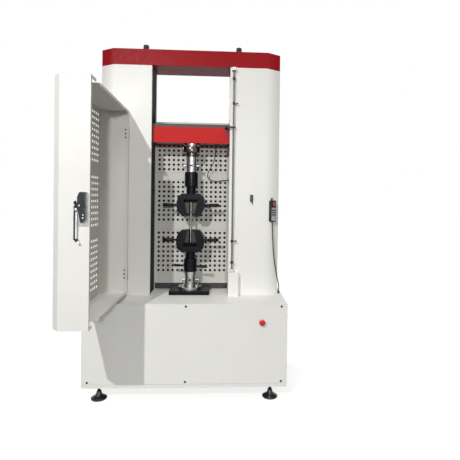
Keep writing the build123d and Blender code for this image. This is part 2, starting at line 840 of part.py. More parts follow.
# Lock sleeves: rings turned on the spigots between adapter and grip
with BuildPart() as upper_lock_sleeve:
    upright(0, 0, (upper_sleeve_bottom + fit, upper_sleeve_top - fit), sleeve_radius)
    upright(0, 0, (upper_sleeve_bottom, upper_sleeve_top), spigot_radius + fit, Mode.SUBTRACT)
    chamfer(upper_lock_sleeve.edges().filter_by(GeomType.CIRCLE).sort_by(SortBy.RADIUS)[-2:], 3)
upper_lock_sleeve.part.label = "upper_lock_sleeve"
export_step(upper_lock_sleeve.part, "parts/upper_lock_sleeve.step")

# The lower sleeve has tommy bars through its wall
tommy_z = lower_sleeve_bottom + 0.4 * lower_sleeve_height
with BuildPart() as lower_lock_sleeve:
    upright(0, 0, (lower_sleeve_bottom + fit, lower_sleeve_top - fit), sleeve_radius)
    upright(0, 0, (lower_sleeve_bottom, lower_sleeve_top), spigot_radius + fit, Mode.SUBTRACT)
    chamfer(lower_lock_sleeve.edges().filter_by(GeomType.CIRCLE).sort_by(SortBy.RADIUS)[-2:], 3)
    for half_turn in (0, 180):
        turn = radians(half_turn - tommy_turn)
        middle_reach = (spigot_radius + 8 + tommy_length / 2) / 2
        with Locations(
            Location((middle_reach * cos(turn), middle_reach * sin(turn), tommy_z), (0, 90, degrees(turn)))
        ):
            Cylinder(tommy_radius, tommy_length / 2 - spigot_radius - 8)
lower_lock_sleeve.part.label = "lower_lock_sleeve"
export_step(lower_lock_sleeve.part, "parts/lower_lock_sleeve.step")

# Limit rod with its two fixed collars
switch_top = base_top + switch_height
rod_bottom = switch_top - 40
with BuildPart() as limit_rod:
    upright(rod_x, rod_y, (rod_bottom, rod_top), rod_radius)
    for z in fixed_collar_heights:
        upright(rod_x, rod_y, (z - collar_rod_height / 2, z + collar_rod_height / 2), collar_rod_radius)
limit_rod.part.label = "limit_rod"
export_step(limit_rod.part, "parts/limit_rod.step")

# Stop collars that slide on the rod, each clamped by its thumb screw
for name, z in (("upper_stop_collar", stop_collar_heights[0]), ("lower_stop_collar", stop_collar_heights[1])):
    with BuildPart() as stop_collar:
        upright(rod_x, rod_y, (z - collar_rod_height / 2, z + collar_rod_height / 2), collar_rod_radius)
        levels = (z - collar_rod_height, z + collar_rod_height)
        upright(rod_x, rod_y, levels, rod_radius + shaft_fit, Mode.SUBTRACT)
        start = rod_x + collar_rod_radius - 1
        across((start, start + thumb_length / 2), rod_y, z, thumb_radius / 2)
        across((start + thumb_length / 2, start + thumb_length), rod_y, z, thumb_radius)
    stop_collar.part.label = name
    export_step(stop_collar.part, "parts/" + name + ".step")

# Fittings on the columns: rod brackets, door keeper, the hinges' fixed leaves and the pendant's hook
chamfer_run = column_outer_x - column_chamfer_x
chamfer_length = hypot(chamfer_run, chamfer_depth)
along = (chamfer_run / chamfer_length, chamfer_depth / chamfer_length)
outward = (chamfer_depth / chamfer_length, -chamfer_run / chamfer_length)
chamfer_middle = ((column_chamfer_x + column_outer_x) / 2, (column_front + chamfer_y) / 2)


def on_chamfer(shift, stand, z):
    """A place on the right column's chamfer: shift along it, stand off it, height z."""
    x = chamfer_middle[0] + shift * along[0] + stand * outward[0]
    y = chamfer_middle[1] + shift * along[1] + stand * outward[1]
    return (x, y, z)


pendant_top = pendant_z + pendant_height / 2
hook_z = pendant_top + 14
knuckle = hinge_pin_radius + 1
top_bracket_z = rod_top - bracket_height
bottom_bracket_z = switch_top + bracket_gap
with BuildPart() as column_fittings:
    for z in (top_bracket_z, bottom_bracket_z):
        block(
            (rod_x - bracket_size / 2, rod_x + bracket_size / 2),
            (rod_y - bracket_size / 2, column_front),
            (z, z + bracket_height),
        )
        upright(rod_x, rod_y, (z, z + bracket_height), rod_radius + shaft_fit, Mode.SUBTRACT)
    half_keeper = keeper_width / 2
    block(
        (keeper_x - half_keeper, keeper_x + half_keeper),
        (column_front - 3, column_front),
        (keeper_z - keeper_height / 2, keeper_z + keeper_height / 2),
    )
    loop_front = column_front - keeper_reach
    loop_levels = (keeper_z + 4, keeper_z + keeper_height / 2)
    for x in (keeper_x - half_keeper, keeper_x + half_keeper - keeper_bar):
        block((x, x + keeper_bar), (loop_front, column_front), loop_levels)
    loop_width = (keeper_x - half_keeper, keeper_x + half_keeper)
    block(loop_width, (loop_front, loop_front + keeper_bar), loop_levels)
    for z in hinge_heights:
        low = z - hinge_length / 2
        high = z + hinge_length / 2
        block((hinge_x - hinge_width, hinge_x - 8), (column_front - hinge_leaf, column_front), (low, high))
        for level in ((low, low + hinge_length / 3 - fit), (high - hinge_length / 3 + fit, high)):
            block((hinge_x - 10, hinge_x), (column_front - hinge_leaf, column_front), level)
        block((hinge_x - 2, hinge_x + 2), (hinge_y, column_front), (low, low + hinge_length / 3 - fit))
        block((hinge_x - 2, hinge_x + 2), (hinge_y, column_front), (high - hinge_length / 3 + fit, high))
        upright(hinge_x, hinge_y, (low, low + hinge_length / 3 - fit), knuckle)
        upright(hinge_x, hinge_y, (high - hinge_length / 3 + fit, high), knuckle)
        upright(hinge_x, hinge_y, (low, high), hinge_pin_radius - 2)
    hook_plane = Plane(origin=on_chamfer(pendant_shift, 0, hook_z), x_dir=(*along, 0), z_dir=(*outward, 0))
    with BuildSketch(hook_plane):
        Circle(hook_radius)
    extrude(amount=pendant_stand_off + 10)
    with BuildSketch(hook_plane.offset(pendant_stand_off + 10)):
        Rectangle(24, 7)
    extrude(amount=3)
column_fittings.part.label = "column_fittings"
export_step(column_fittings.part, "parts/column_fittings.step")

# Cover of the limit switches at the foot of the rod, with the switch inside
with BuildPart() as limit_switch_box:
    left = column_inner_x + 1
    right = left + switch_width
    front = column_front - switch_depth
    block((left, right), (front, column_front), (base_top, switch_top))
    block(
        (left + switch_sheet, right - switch_sheet),
        (front + switch_sheet, column_front),
        (base_top, switch_top - switch_sheet),
        Mode.SUBTRACT,
    )
    upright(rod_x, rod_y, (switch_top - switch_sheet, switch_top), rod_radius + 1, Mode.SUBTRACT)
    block(
        (rod_x - 14, rod_x + 14),
        (rod_y - 9, column_front),
        (rod_bottom - rod_travel - 60, rod_bottom - rod_travel - fit),
    )
limit_switch_box.part.label = "limit_switch_box"
export_step(limit_switch_box.part, "parts/limit_switch_box.step")

# Perforated back guard in three sheets, and the rails that carry it behind the columns
guard_levels = (guard_bottom, guard_seams[0], guard_seams[1], guard_top)
guard_half_width = column_inner_x + 30
with BuildPart() as back_panels:
    for index in range(3):
        low = guard_levels[index]
        high = guard_levels[index + 1] - 1
        with BuildSketch(Plane.XZ.offset(-column_half_depth - guard_sheet)):
            with Locations((0, (low + high) / 2)):
                Rectangle(2 * guard_half_width, high - low)
            with Locations((0, guard_row_middles[index])):
                with GridLocations(hole_pitch, hole_pitch, hole_columns, hole_rows):
                    Circle(hole_radius, mode=Mode.SUBTRACT)
        extrude(amount=guard_sheet)
back_panels.part.label = "back_panels"
export_step(back_panels.part, "parts/back_panels.step")

with BuildPart() as back_rails:
    behind = column_half_depth + guard_sheet
    block((-guard_half_width, guard_half_width), (behind, behind + rail_depth), (base_top, guard_bottom + 12))
    block((-guard_half_width, guard_half_width), (column_half_depth, behind), (base_top, guard_bottom))
    for seam in guard_seams:
        block((-guard_half_width, guard_half_width), (behind, behind + rail_depth), (seam - 10, seam + 10))
    top_rail = (guard_top - 21, guard_top - 1)
    block((-guard_half_width, guard_half_width), (behind, behind + rail_depth), top_rail)
    for side in (-1, 1):
        block(
            (side * (guard_half_width - 25), side * guard_half_width),
            (behind, behind + rail_depth),
            (base_top, guard_top - 1),
        )
back_rails.part.label = "back_rails"
export_step(back_rails.part, "parts/back_rails.step")

# Hinges: the leaves on the door's hinge wall
with BuildPart() as door_hinge_leaves:
    for z in hinge_heights:
        low = z - hinge_length / 6
        high = z + hinge_length / 6
        block(
            (hinge_x - hinge_width, hinge_x - 8),
            (door_start_y, door_start_y + hinge_leaf),
            (z - hinge_length / 2, z + hinge_length / 2),
        )
        block((hinge_x - 10, hinge_x), (door_start_y, door_start_y + hinge_leaf), (low, high))
        block((hinge_x - 2, hinge_x + 2), (door_start_y, hinge_y), (low, high))
        upright(hinge_x, hinge_y, (low, high), knuckle)
        upright(hinge_x, hinge_y, (low, high), hinge_pin_radius - 2 + shaft_fit, Mode.SUBTRACT)
door_hinge_leaves.part.label = "door_hinge_leaves"
export_step(door_hinge_leaves.part, "parts/door_hinge_leaves.step")

# The door's pan: walls, chamfered edges, return lips and a bordered opening for its grille
door_outline = [
    (0, 0),
    (door_length, 0),
    (door_length, door_depth - end_chamfer),
    (door_length - end_chamfer, door_depth),
    (end_chamfer, door_depth),
    (0, door_depth - hinge_chamfer),
]
rod_u = rod_x - closed_start_x
switch_u = (column_inner_x + 1 + column_inner_x + 1 + switch_width) / 2 - closed_start_x


def door_plan(z):
    """Plane for sketches of the open door seen from above: local x is u, local y is -v."""
    return Plane(origin=(door_open_x, door_start_y, z), x_dir=(0, -1, 0), z_dir=(0, 0, 1))


def door_place(u, v):
    """World x and y of a place on the open door."""
    return (door_open_x - v, door_start_y - u)


with BuildPart() as door_frame:
    with BuildSketch(door_plan(door_bottom)):
        Polygon(*[(u, -v) for u, v in door_outline], align=None)
    extrude(amount=door_height)
    with BuildSketch(door_plan(door_bottom + door_sheet)):
        Polygon(*[(u, -v) for u, v in door_outline], align=None)
        offset(amount=-door_sheet)
    extrude(amount=door_height - 2 * door_sheet, mode=Mode.SUBTRACT)
    block(
        (door_place(0, 0)[0] - door_sheet, door_place(0, 0)[0]),
        (door_place(door_length - lip_width, 0)[1], door_place(lip_width, 0)[1]),
        (door_bottom + lip_width, door_top - lip_width),
        Mode.SUBTRACT,
    )
    block(
        (door_place(0, door_depth)[0], door_place(0, door_depth - door_sheet)[0]),
        (
            door_place(door_length - end_chamfer - front_border, 0)[1],
            door_place(end_chamfer + front_border, 0)[1],
        ),
        (door_bottom + front_border, door_top - front_border),
        Mode.SUBTRACT,
    )
    block(
        (door_place(0, rod_notch_depth)[0], door_open_x),
        (door_place(rod_u + rod_notch_width / 2, 0)[1], door_place(rod_u - rod_notch_width / 2, 0)[1]),
        (door_top - lip_width, door_top),
        Mode.SUBTRACT,
    )
    switch_half = switch_width / 2 + switch_notch_margin
    block(
        (door_place(0, switch_depth + switch_notch_reach)[0], door_open_x),
        (door_place(switch_u + switch_half, 0)[1], door_place(switch_u - switch_half, 0)[1]),
        (door_bottom, door_bottom + lip_width),
        Mode.SUBTRACT,
    )
door_frame.part.label = "door_frame"
export_step(door_frame.part, "parts/door_frame.step")

# The door's perforated sheet, fixed behind the border
with BuildPart() as door_grille:
    grille_u = (end_chamfer + 4, door_length - end_chamfer - 4)
    grille_middle = (grille_u[0] + grille_u[1]) / 2
    grille_x = door_open_x - door_depth + door_sheet
    face_plane = Plane(origin=(grille_x, door_start_y, 0), x_dir=(0, 1, 0), z_dir=(1, 0, 0))
    with BuildSketch(face_plane):
        with Locations((-grille_middle, (door_bottom + door_top) / 2)):
            Rectangle(grille_u[1] - grille_u[0], door_height - 2 * door_sheet - 8)
        for row_middle in door_row_middles:
            with Locations((-grille_middle, row_middle)):
                with GridLocations(door_pitch, door_pitch, door_columns, hole_rows):
                    Circle(hole_radius, mode=Mode.SUBTRACT)
    extrude(amount=door_sheet)
door_grille.part.label = "door_grille"
export_step(door_grille.part, "parts/door_grille.step")

# The latch on the door's end wall: a housing on its plate
latch_x = door_open_x - latch_v
with BuildPart() as latch_housing:
    block(
        (latch_x - latch_width / 2, latch_x + latch_width / 2 + 2),
        (door_end_y - latch_plate, door_end_y),
        (latch_top - latch_body_height - 17, latch_top),
    )
    with BuildSketch(Plane.XZ.offset(-door_end_y + latch_plate)):
        with Locations((latch_x, latch_top - latch_body_height / 2)):
            Rectangle(latch_width - 4, latch_body_height)
    extrude(amount=latch_depth)
    pivot_x = door_open_x - lever_v
    block(
        (pivot_x - lever_width / 2, latch_x - latch_width / 2 + 3),
        (door_end_y - latch_plate - 6, door_end_y),
        (lever_pivot_z - 12, lever_pivot_z + 34),
    )
    inward(pivot_x, (door_end_y - latch_depth, door_end_y), lever_pivot_z, 4)
latch_housing.part.label = "latch_housing"
export_step(latch_housing.part, "parts/latch_housing.step")

# The latch's lever: it hangs from its pivot and ends in a turned tip
with BuildPart() as latch_lever:
    lever_front = door_end_y - latch_plate - 7
    block(
        (pivot_x - lever_width / 2, pivot_x + lever_width / 2 - 3),
        (lever_front - lever_thickness, lever_front),
        (lever_pivot_z - lever_length, lever_pivot_z),
    )
    inward(pivot_x, (lever_front - lever_thickness, lever_front), lever_pivot_z, lever_width / 2)
    block(
        (pivot_x - lever_width / 2 + 6, pivot_x + lever_width),
        (lever_front - lever_thickness, lever_front),
        (lever_pivot_z - lever_length - 26, lever_pivot_z - lever_length + 1),
    )
    inward(pivot_x, (lever_front - lever_thickness, lever_front), lever_pivot_z, 4 + fit, Mode.SUBTRACT)
latch_lever.part.label = "latch_lever"
export_step(latch_lever.part, "parts/latch_lever.step")

# Emergency stop: its mushroom moves in the collar
with BuildPart() as estop_button:
    cap_back = front_y - estop_collar_height - estop_travel - 1
    inward(estop_x, (cap_back - estop_cap, cap_back), estop_z, estop_radius)
    fillet(estop_button.edges().group_by(Axis.Y)[0], estop_cap / 3)
    inward(estop_x, (cap_back, front_y + 20), estop_z, estop_stem_radius)
estop_button.part.label = "estop_button"
export_step(estop_button.part, "parts/estop_button.step")

# Panel fittings: the stop's collar and the glands of the two cords
cell_gland = (column_inner_x, half_opening + 8.5, 1478.0)
pendant_gland = (half_width - gland_inset, -35.0, base_top)
with BuildPart() as panel_fittings:
    inward(estop_x, (front_y - estop_collar_height, front_y), estop_z, estop_collar_radius)
    inward(estop_x, (front_y, front_y + 30), estop_z, estop_hole_radius)
    stem_span = (front_y - estop_collar_height, front_y + 30)
    inward(estop_x, stem_span, estop_z, estop_stem_radius + fit, Mode.SUBTRACT)
    gland_x, gland_y, gland_z = pendant_gland
    upright(gland_x, gland_y, (gland_z, gland_z + 6), 9)
    upright(gland_x, gland_y, (gland_z + 6, gland_z + 16), 7)
    across((cell_gland[0] - 8, cell_gland[0]), cell_gland[1], cell_gland[2], 6.5)
panel_fittings.part.label = "panel_fittings"
export_step(panel_fittings.part, "parts/panel_fittings.step")

# The pendant: a housing hung on its hook, with pockets for its buttons
pendant_back = Plane(
    origin=on_chamfer(pendant_shift, pendant_stand_off, pendant_z), x_dir=(*along, 0), z_dir=(*outward, 0)
)
key_places = [(column * 17 - 8.5, 6 - row * 17) for row in range(3) for column in range(2)]
stop_place = (6.0, 50.0)
face_height = pendant_depth - key_pocket
with BuildPart() as pendant_housing:
    with BuildSketch(pendant_back):
        RectangleRounded(pendant_width, pendant_height, 7)
    extrude(amount=pendant_depth)
    with BuildSketch(pendant_back):
        with Locations((0, pendant_height / 2 + 8)):
            Rectangle(14, 24)
        with Locations((0, hook_z - pendant_z)):
            Circle(hook_radius + fit, mode=Mode.SUBTRACT)
    extrude(amount=4)
    with BuildSketch(pendant_back.offset(face_height)):
        with Locations(*key_places):
            Rectangle(key_width + 2 * fit, key_height + 2 * fit)
        with Locations(stop_place):
            Circle(stop_key_radius + fit)
    extrude(amount=key_pocket, mode=Mode.SUBTRACT)
pendant_housing.part.label = "pendant_housing"
export_step(pendant_housing.part, "parts/pendant_housing.step")

# The pendant's buttons: one red stop and six keys
key_floor = face_height + key_travel + 1
for index, place in enumerate(key_places):
    with BuildPart() as pendant_key:
        with BuildSketch(pendant_back.offset(key_floor)):
            with Locations(place):
                Rectangle(key_width, key_height)
        extrude(amount=pendant_depth + key_stand - key_floor)
    name = "pendant_key_" + str(index + 1)
    pendant_key.part.label = name
    export_step(pendant_key.part, "parts/" + name + ".step")

with BuildPart() as pendant_stop_button:
    with BuildSketch(pendant_back.offset(key_floor)):
        with Locations(stop_place):
            Circle(stop_key_radius)
    extrude(amount=pendant_depth + key_stand - key_floor)
pendant_stop_button.part.label = "pendant_stop_button"
export_step(pendant_stop_button.part, "parts/pendant_stop_button.step")


def corner_radii(points):
    """The largest arc at each corner of a cord: 0.45 of the shorter run over tan(turn / 2)."""
    radii = []
    for before, corner, after in zip(points, points[1:], points[2:]):
        first = Vector(*corner) - Vector(*before)
        second = Vector(*after) - Vector(*corner)
        turn = radians(first.get_angle(second))
        radii.append(0.45 * min(first.length, second.length) / tan(turn / 2))
    return radii


# The pendant's cord: down the chamfer, round the column's edge, into its gland
pendant_bottom = pendant_z - pendant_height / 2
pendant_exit = on_chamfer(pendant_shift, pendant_stand_off + pendant_depth / 2, pendant_bottom)
pendant_route = [
    pendant_exit,
    (pendant_exit[0], pendant_exit[1], 1120.0),
    (603.5, -109.0, 1066.0),
    (605.5, -108.0, 1012.0),
    (609.0, -105.0, 960.0),
    (615.0, -99.5, 908.0),
    (623.0, -93.0, 858.0),
    (632.0, -85.5, 808.0),
    (643.5, -76.5, 760.0),
    (655.0, -64.5, 718.0),
    (661.5, -48.5, 686.0),
    (gland_x, gland_y, 668.0),
    (gland_x, gland_y, gland_z + 16),
]
cell_route = [
    (181.0, 24.0, beam_bottom),
    (181.0, 24.0, 1702.0),
    (177.0, 34.0, 1659.0),
    (166.0, 44.0, 1618.0),
    (148.5, 54.0, 1580.0),
    (130.0, 63.0, 1551.0),
    (119.0, 71.0, 1524.0),
    (120.0, 78.0, 1497.0),
    (135.0, 85.0, 1479.5),
    (160.0, 92.0, 1472.0),
    (196.0, 99.0, 1469.5),
    (236.0, cell_gland[1], cell_gland[2]),
    (cell_gland[0] - 8, cell_gland[1], cell_gland[2]),
]
for name, route, diameter in (
    ("pendant_cord", pendant_route, pendant_cord_diameter),
    ("load_cell_cable", cell_route, cell_cord_diameter),
):
    radii = corner_radii(route)
    with BuildPart() as cord:
        with BuildLine() as path:
            FilletPolyline(*route, radius=radii)
        with BuildSketch(Plane(origin=path.line @ 0, z_dir=path.line % 0)):
            Circle(diameter / 2)
        sweep(path=path.line)
    length = path.wires()[0].length
    section = pi * diameter**2 / 4
    print(name, "radii", [round(r) for r in radii], "length", round(length, 1))
    print(name, "volume ratio", round(cord.part.volume / (section * length), 4))
    cord.part.label = name
    export_step(cord.part, "parts/" + name + ".step")
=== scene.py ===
import json
import math

import bpy
from mathutils import Matrix, Vector


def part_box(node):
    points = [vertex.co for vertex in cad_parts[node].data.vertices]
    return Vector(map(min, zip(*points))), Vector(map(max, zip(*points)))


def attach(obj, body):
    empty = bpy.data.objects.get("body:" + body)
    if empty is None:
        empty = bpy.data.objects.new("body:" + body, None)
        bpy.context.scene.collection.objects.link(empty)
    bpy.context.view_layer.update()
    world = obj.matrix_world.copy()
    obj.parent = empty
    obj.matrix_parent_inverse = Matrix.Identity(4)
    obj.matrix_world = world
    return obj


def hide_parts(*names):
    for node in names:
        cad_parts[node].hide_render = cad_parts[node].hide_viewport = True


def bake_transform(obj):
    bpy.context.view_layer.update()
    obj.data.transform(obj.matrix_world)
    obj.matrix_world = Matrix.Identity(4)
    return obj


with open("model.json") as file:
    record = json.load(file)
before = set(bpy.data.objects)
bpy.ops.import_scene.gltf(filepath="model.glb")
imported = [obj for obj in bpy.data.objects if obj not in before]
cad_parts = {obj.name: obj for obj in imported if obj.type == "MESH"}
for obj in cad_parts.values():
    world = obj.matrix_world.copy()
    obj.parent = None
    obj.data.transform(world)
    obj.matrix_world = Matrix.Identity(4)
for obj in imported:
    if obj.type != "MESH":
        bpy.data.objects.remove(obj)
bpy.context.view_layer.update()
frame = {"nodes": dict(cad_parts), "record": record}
cad_nodes = frame["nodes"]
record = frame["record"]
body_of = {node: body for body, group in record["behaviour"]["bodies"].items() for node in group}

UP = Vector((0, 0, 1))
TO_FRONT = Vector((0, -1, 0))
TO_BACK = Vector((0, 1, 0))
TO_RIGHT = Vector((1, 0, 0))
TO_LEFT = Vector((-1, 0, 0))


# Finishes


class Finish:
    """A material in the making: its shader and the part's own coordinates."""

    def __init__(self, name, **sockets):
        self.material = bpy.data.materials.new(name)
        self.material.use_nodes = True
        self.tree = self.material.node_tree
        self.shader = self.tree.nodes["Principled BSDF"]
        self.place = self.tree.nodes.new("ShaderNodeTexCoord").outputs["Object"]
        for socket, value in sockets.items():
            self.shader.inputs[socket.replace("_", " ")].default_value = value

    def link(self, output, node, socket):
        self.tree.links.new(output, node.inputs[socket])

    def noise(self, scale, detail=3.0, roughness=0.55, stretch=(1, 1, 1)):
        """Noise with so many features to a metre, squeezed or drawn out along the axes by stretch."""
        mapping = self.tree.nodes.new("ShaderNodeMapping")
        mapping.inputs["Scale"].default_value = stretch
        self.link(self.place, mapping, "Vector")
        texture = self.tree.nodes.new("ShaderNodeTexNoise")
        texture.inputs["Scale"].default_value = scale
        texture.inputs["Detail"].default_value = detail
        texture.inputs["Roughness"].default_value = roughness
        self.link(mapping.outputs["Vector"], texture, "Vector")
        return texture.outputs["Fac"]

    def tint(self, mask, dark, light, start=0.35, end=0.65):
        """Colour between dark and light by the mask."""
        ramp = self.tree.nodes.new("ShaderNodeValToRGB")
        ramp.color_ramp.elements[0].position = start
        ramp.color_ramp.elements[1].position = end
        ramp.color_ramp.elements[0].color = (*dark, 1)
        ramp.color_ramp.elements[1].color = (*light, 1)
        self.link(mask, ramp, "Fac")
        self.link(ramp.outputs["Color"], self.shader, "Base Color")

    def dull(self, mask, smooth, rough):
        """Roughness between smooth and rough by the mask."""
        spread = self.tree.nodes.new("ShaderNodeMapRange")
        spread.inputs["From Min"].default_value = 0.3
        spread.inputs["From Max"].default_value = 0.7
        spread.inputs["To Min"].default_value = smooth
        spread.inputs["To Max"].default_value = rough
        self.link(mask, spread, "Value")
        self.link(spread.outputs["Result"], self.shader, "Roughness")

    def relief(self, height, strength, distance):
        bump = self.tree.nodes.new("ShaderNodeBump")
        bump.inputs["Strength"].default_value = strength
        bump.inputs["Distance"].default_value = distance
        self.link(height, bump, "Height")
        self.link(bump.outputs["Normal"], self.shader, "Normal")


def powder_coat(name, colour, unevenness, gloss_roughness, shine=0.5):
    """Baked powder paint: faintly uneven tone, an orange-peel skin and a satin shine."""
    paint = Finish(name, Specular_IOR_Level=shine)
    thin = tuple(part * (1 - unevenness) for part in colour)
    paint.tint(paint.noise(2.2, 4.0), thin, colour)
    paint.dull(paint.noise(35.0), gloss_roughness - 0.05, gloss_roughness + 0.07)
    paint.relief(paint.noise(420.0, 2.0), 0.12, 0.0004)
    return paint.material


def cut_steel(name, colour, roughness, lay, relief=0.25):
    """Machined steel: its tool marks are fine noise, drawn out along the lay."""
    steel = Finish(name, Metallic=1.0)
    stained = tuple(part * 0.8 for part in colour)
    steel.tint(steel.noise(9.0, 5.0), stained, colour)
    marks = steel.noise(60.0, 3.0, 0.6, lay)
    steel.dull(marks, roughness - 0.06, roughness + 0.1)
    steel.relief(marks, relief, 0.0002)
    return steel.material


def blackened(name, colour, roughness):
    """Oil-blackened steel: near black and mottled, with a dull shine and a slightly grainy skin."""
    steel = Finish(name, Metallic=0.6, Specular_IOR_Level=0.15)
    worn = tuple(part * 2.0 for part in colour)
    steel.tint(steel.noise(28.0, 6.0, 0.65), colour, worn, 0.4, 0.75)
    steel.dull(steel.noise(90.0, 4.0), roughness - 0.08, roughness + 0.12)
    steel.relief(steel.noise(380.0), 0.25, 0.0004)
    return steel.material


def moulded(name, colour, roughness, grain=500.0, relief=0.2, shine=0.3):
    """Moulded plastic or rubber: a fine grain and a faint change of tone."""
    plastic = Finish(name, Specular_IOR_Level=shine)
    pale = tuple(part * 1.35 + 0.002 for part in colour)
    plastic.tint(plastic.noise(14.0, 4.0), colour, pale)
    plastic.dull(plastic.noise(60.0), roughness - 0.05, roughness + 0.08)
    plastic.relief(plastic.noise(grain, 2.0), relief, 0.0003)
    return plastic.material


TURNED = (0.4, 0.4, 14)
DRAWN = (14, 14, 0.3)
GROUND = (10, 1, 1)
PLATED = (2, 2, 2)
white_paint = powder_coat("white_powder_coat", (0.80, 0.798, 0.775), 0.03, 0.42, 0.35)
door_paint = powder_coat("door_powder_coat", (0.79, 0.785, 0.755), 0.05, 0.45, 0.3)
grille_paint = powder_coat("grille_powder_coat", (0.70, 0.68, 0.61), 0.06, 0.48, 0.3)
# The guard's warm off-white is set darker than the white paint: painted shade for the dim inside of the
# machine.
guard_paint_and_shade = powder_coat("guard_powder_coat_and_painted_shade", (0.62, 0.61, 0.57), 0.06, 0.48, 0.2)
crimson_paint = powder_coat("crimson_powder_coat", (0.33, 0.008, 0.014), 0.12, 0.38, 0.08)
red_paint = powder_coat("red_powder_coat", (0.54, 0.018, 0.018), 0.06, 0.42, 0.08)
dark_paint = powder_coat("dark_enamel", (0.050, 0.050, 0.053), 0.2, 0.45, 0.3)
bright_steel = cut_steel("bright_steel", (0.80, 0.80, 0.79), 0.30, PLATED, 0.05)
turned_steel = cut_steel("turned_steel", (0.45, 0.45, 0.44), 0.27, TURNED, 0.08)
drawn_steel = cut_steel("drawn_steel", (0.30, 0.30, 0.29), 0.30, DRAWN, 0.08)
dark_drawn_steel = cut_steel("dark_drawn_steel", (0.12, 0.12, 0.12), 0.40, DRAWN, 0.08)
# The jaws' ground steel is set near black: painted shade for the jaws in the grip's mouth.
ground_steel_and_shade = cut_steel("ground_steel_and_shade", (0.040, 0.038, 0.034), 0.30, GROUND, 0.15)
bronzed_steel = cut_steel("bronzed_steel", (0.10, 0.09, 0.075), 0.26, TURNED, 0.08)
zinc_plate = cut_steel("zinc_plate", (0.42, 0.42, 0.41), 0.42, PLATED, 0.12)
black_steel = blackened("black_steel", (0.007, 0.0075, 0.010), 0.30)
black_iron = blackened("black_iron", (0.0045, 0.0048, 0.0060), 0.40)
black_plastic = moulded("black_plastic", (0.012, 0.012, 0.013), 0.42)
polished_black = moulded("polished_black", (0.008, 0.008, 0.009), 0.16, 90.0, 0.05, 0.5)
latch_black = moulded("latch_black", (0.010, 0.011, 0.017), 0.22, 120.0, 0.05, 0.5)
red_plastic = moulded("red_plastic", (0.55, 0.012, 0.014), 0.26, 200.0, 0.05)
pale_red_plastic = moulded("pale_red_plastic", (0.52, 0.16, 0.15), 0.35, 200.0, 0.05)
dark_red = moulded("dark_red_metal", (0.09, 0.012, 0.016), 0.35, 300.0, 0.1)
bellows_rubber = moulded("bellows_rubber", (0.007, 0.007, 0.0075), 0.62, 700.0, 0.3)
cable_jacket = moulded("cable_jacket", (0.013, 0.013, 0.014), 0.48, 600.0, 0.1)
key_rubber = moulded("key_rubber", (0.028, 0.030, 0.034), 0.5, 500.0, 0.1)
pendant_face = moulded("pendant_face", (0.36, 0.37, 0.38), 0.38, 400.0, 0.08)


# Workshop: what shapes, joins and hands over a piece


def lay_down():
    """Closes any open mesh and leaves nothing selected."""
    if bpy.context.mode != "OBJECT":
        bpy.ops.object.mode_set(mode="OBJECT")
    bpy.ops.object.select_all(action="DESELECT")


def pick_up(part):
    lay_down()
    part.select_set(True)
    bpy.context.view_layer.objects.active = part


def set_place():
    """Moves the held part's place into its mesh."""
    bpy.ops.object.transform_apply(location=True, rotation=True, scale=True)
    return bpy.context.object


def open_whole(part):
    """Opens the part's mesh with all of it selected."""
    pick_up(part)
    bpy.ops.object.mode_set(mode="EDIT")
    bpy.ops.mesh.select_all(action="SELECT")


def close_mesh():
    bpy.ops.object.mode_set(mode="OBJECT")


def turn_outwards(part):
    open_whole(part)
    bpy.ops.mesh.normals_make_consistent(inside=False)
    close_mesh()


def open_at_corners(part, chosen):
    """Opens the part's mesh with only the corners selected whose place is chosen."""
    pick_up(part)
    mesh = part.data
    for item in [*mesh.vertices, *mesh.edges, *mesh.polygons]:
        item.select = False
    for corner in mesh.vertices:
        corner.select = bool(chosen(corner.co))
    bpy.context.tool_settings.mesh_select_mode = (True, False, False)
    bpy.ops.object.mode_set(mode="EDIT")


def lean(part, below, shift):
    """Moves the part's corners below a level to the side, so that its low end leans."""
    open_at_corners(part, lambda place: place.z < below)
    bpy.ops.transform.translate(value=(shift, 0, 0))
    close_mesh()


def block(x, y, z):
    """A block between three pairs of limits, to be shaped further."""
    lay_down()
    middle = [(low + high) / 2 for low, high in (x, y, z)]
    size = [abs(high - low) for low, high in (x, y, z)]
    bpy.ops.mesh.primitive_cube_add(size=1, location=middle, scale=size)
    return set_place()


def turned(start, along, profile, sides=40):
    """Turns a solid as on a lathe. The profile lists (distance from the start, radius)."""
    lay_down()
    along = Vector(along).normalized()
    reached, radius = profile[0]
    centre = Vector(start) + along * reached
    facing = along.to_track_quat("Z", "Y").to_euler()
    bpy.ops.mesh.primitive_circle_add(
        vertices=sides, radius=radius, fill_type="NGON", location=centre, rotation=facing
    )
    part = set_place()
    open_whole(part)
    for distance, next_radius in profile[1:]:
        step = along * (distance - reached)
        centre = centre + step
        bpy.ops.mesh.extrude_region_move(TRANSFORM_OT_translate={"value": step})
        growth = next_radius / radius
        bpy.ops.transform.resize(value=(growth, growth, growth), center_override=centre)
        reached, radius = distance, next_radius
    turn_outwards(part)
    return part


def round_bar(start, end, radius, chamfer=0.0006, sides=24):
    """A round bar with chamfered ends."""
    run = Vector(end) - Vector(start)
    length = run.length
    ends = [(0, radius - chamfer), (chamfer, radius), (length - chamfer, radius), (length, radius - chamfer)]
    return turned(start, run, ends, sides)


def rounded_plate(place, width, height, depth, corner):
    """A plate with rounded corners, standing up by depth from the XY plane of its place."""
    lay_down()
    bpy.ops.mesh.primitive_plane_add(size=1)
    part = bpy.context.object
    part.scale = (width, height, 1)
    set_place()
    open_whole(part)
    bpy.ops.mesh.bevel(offset=corner, segments=6, affect="VERTICES")
    bpy.ops.mesh.select_all(action="SELECT")
    bpy.ops.mesh.extrude_region_move(TRANSFORM_OT_translate={"value": (0, 0, depth)})
    turn_outwards(part)
    part.matrix_world = place
    return set_place()


def copied(part, move):
    """A second one of a part, with its own mesh, moved aside."""
    pick_up(part)
    bpy.ops.object.duplicate(linked=False)
    bpy.ops.transform.translate(value=move)
    return set_place()


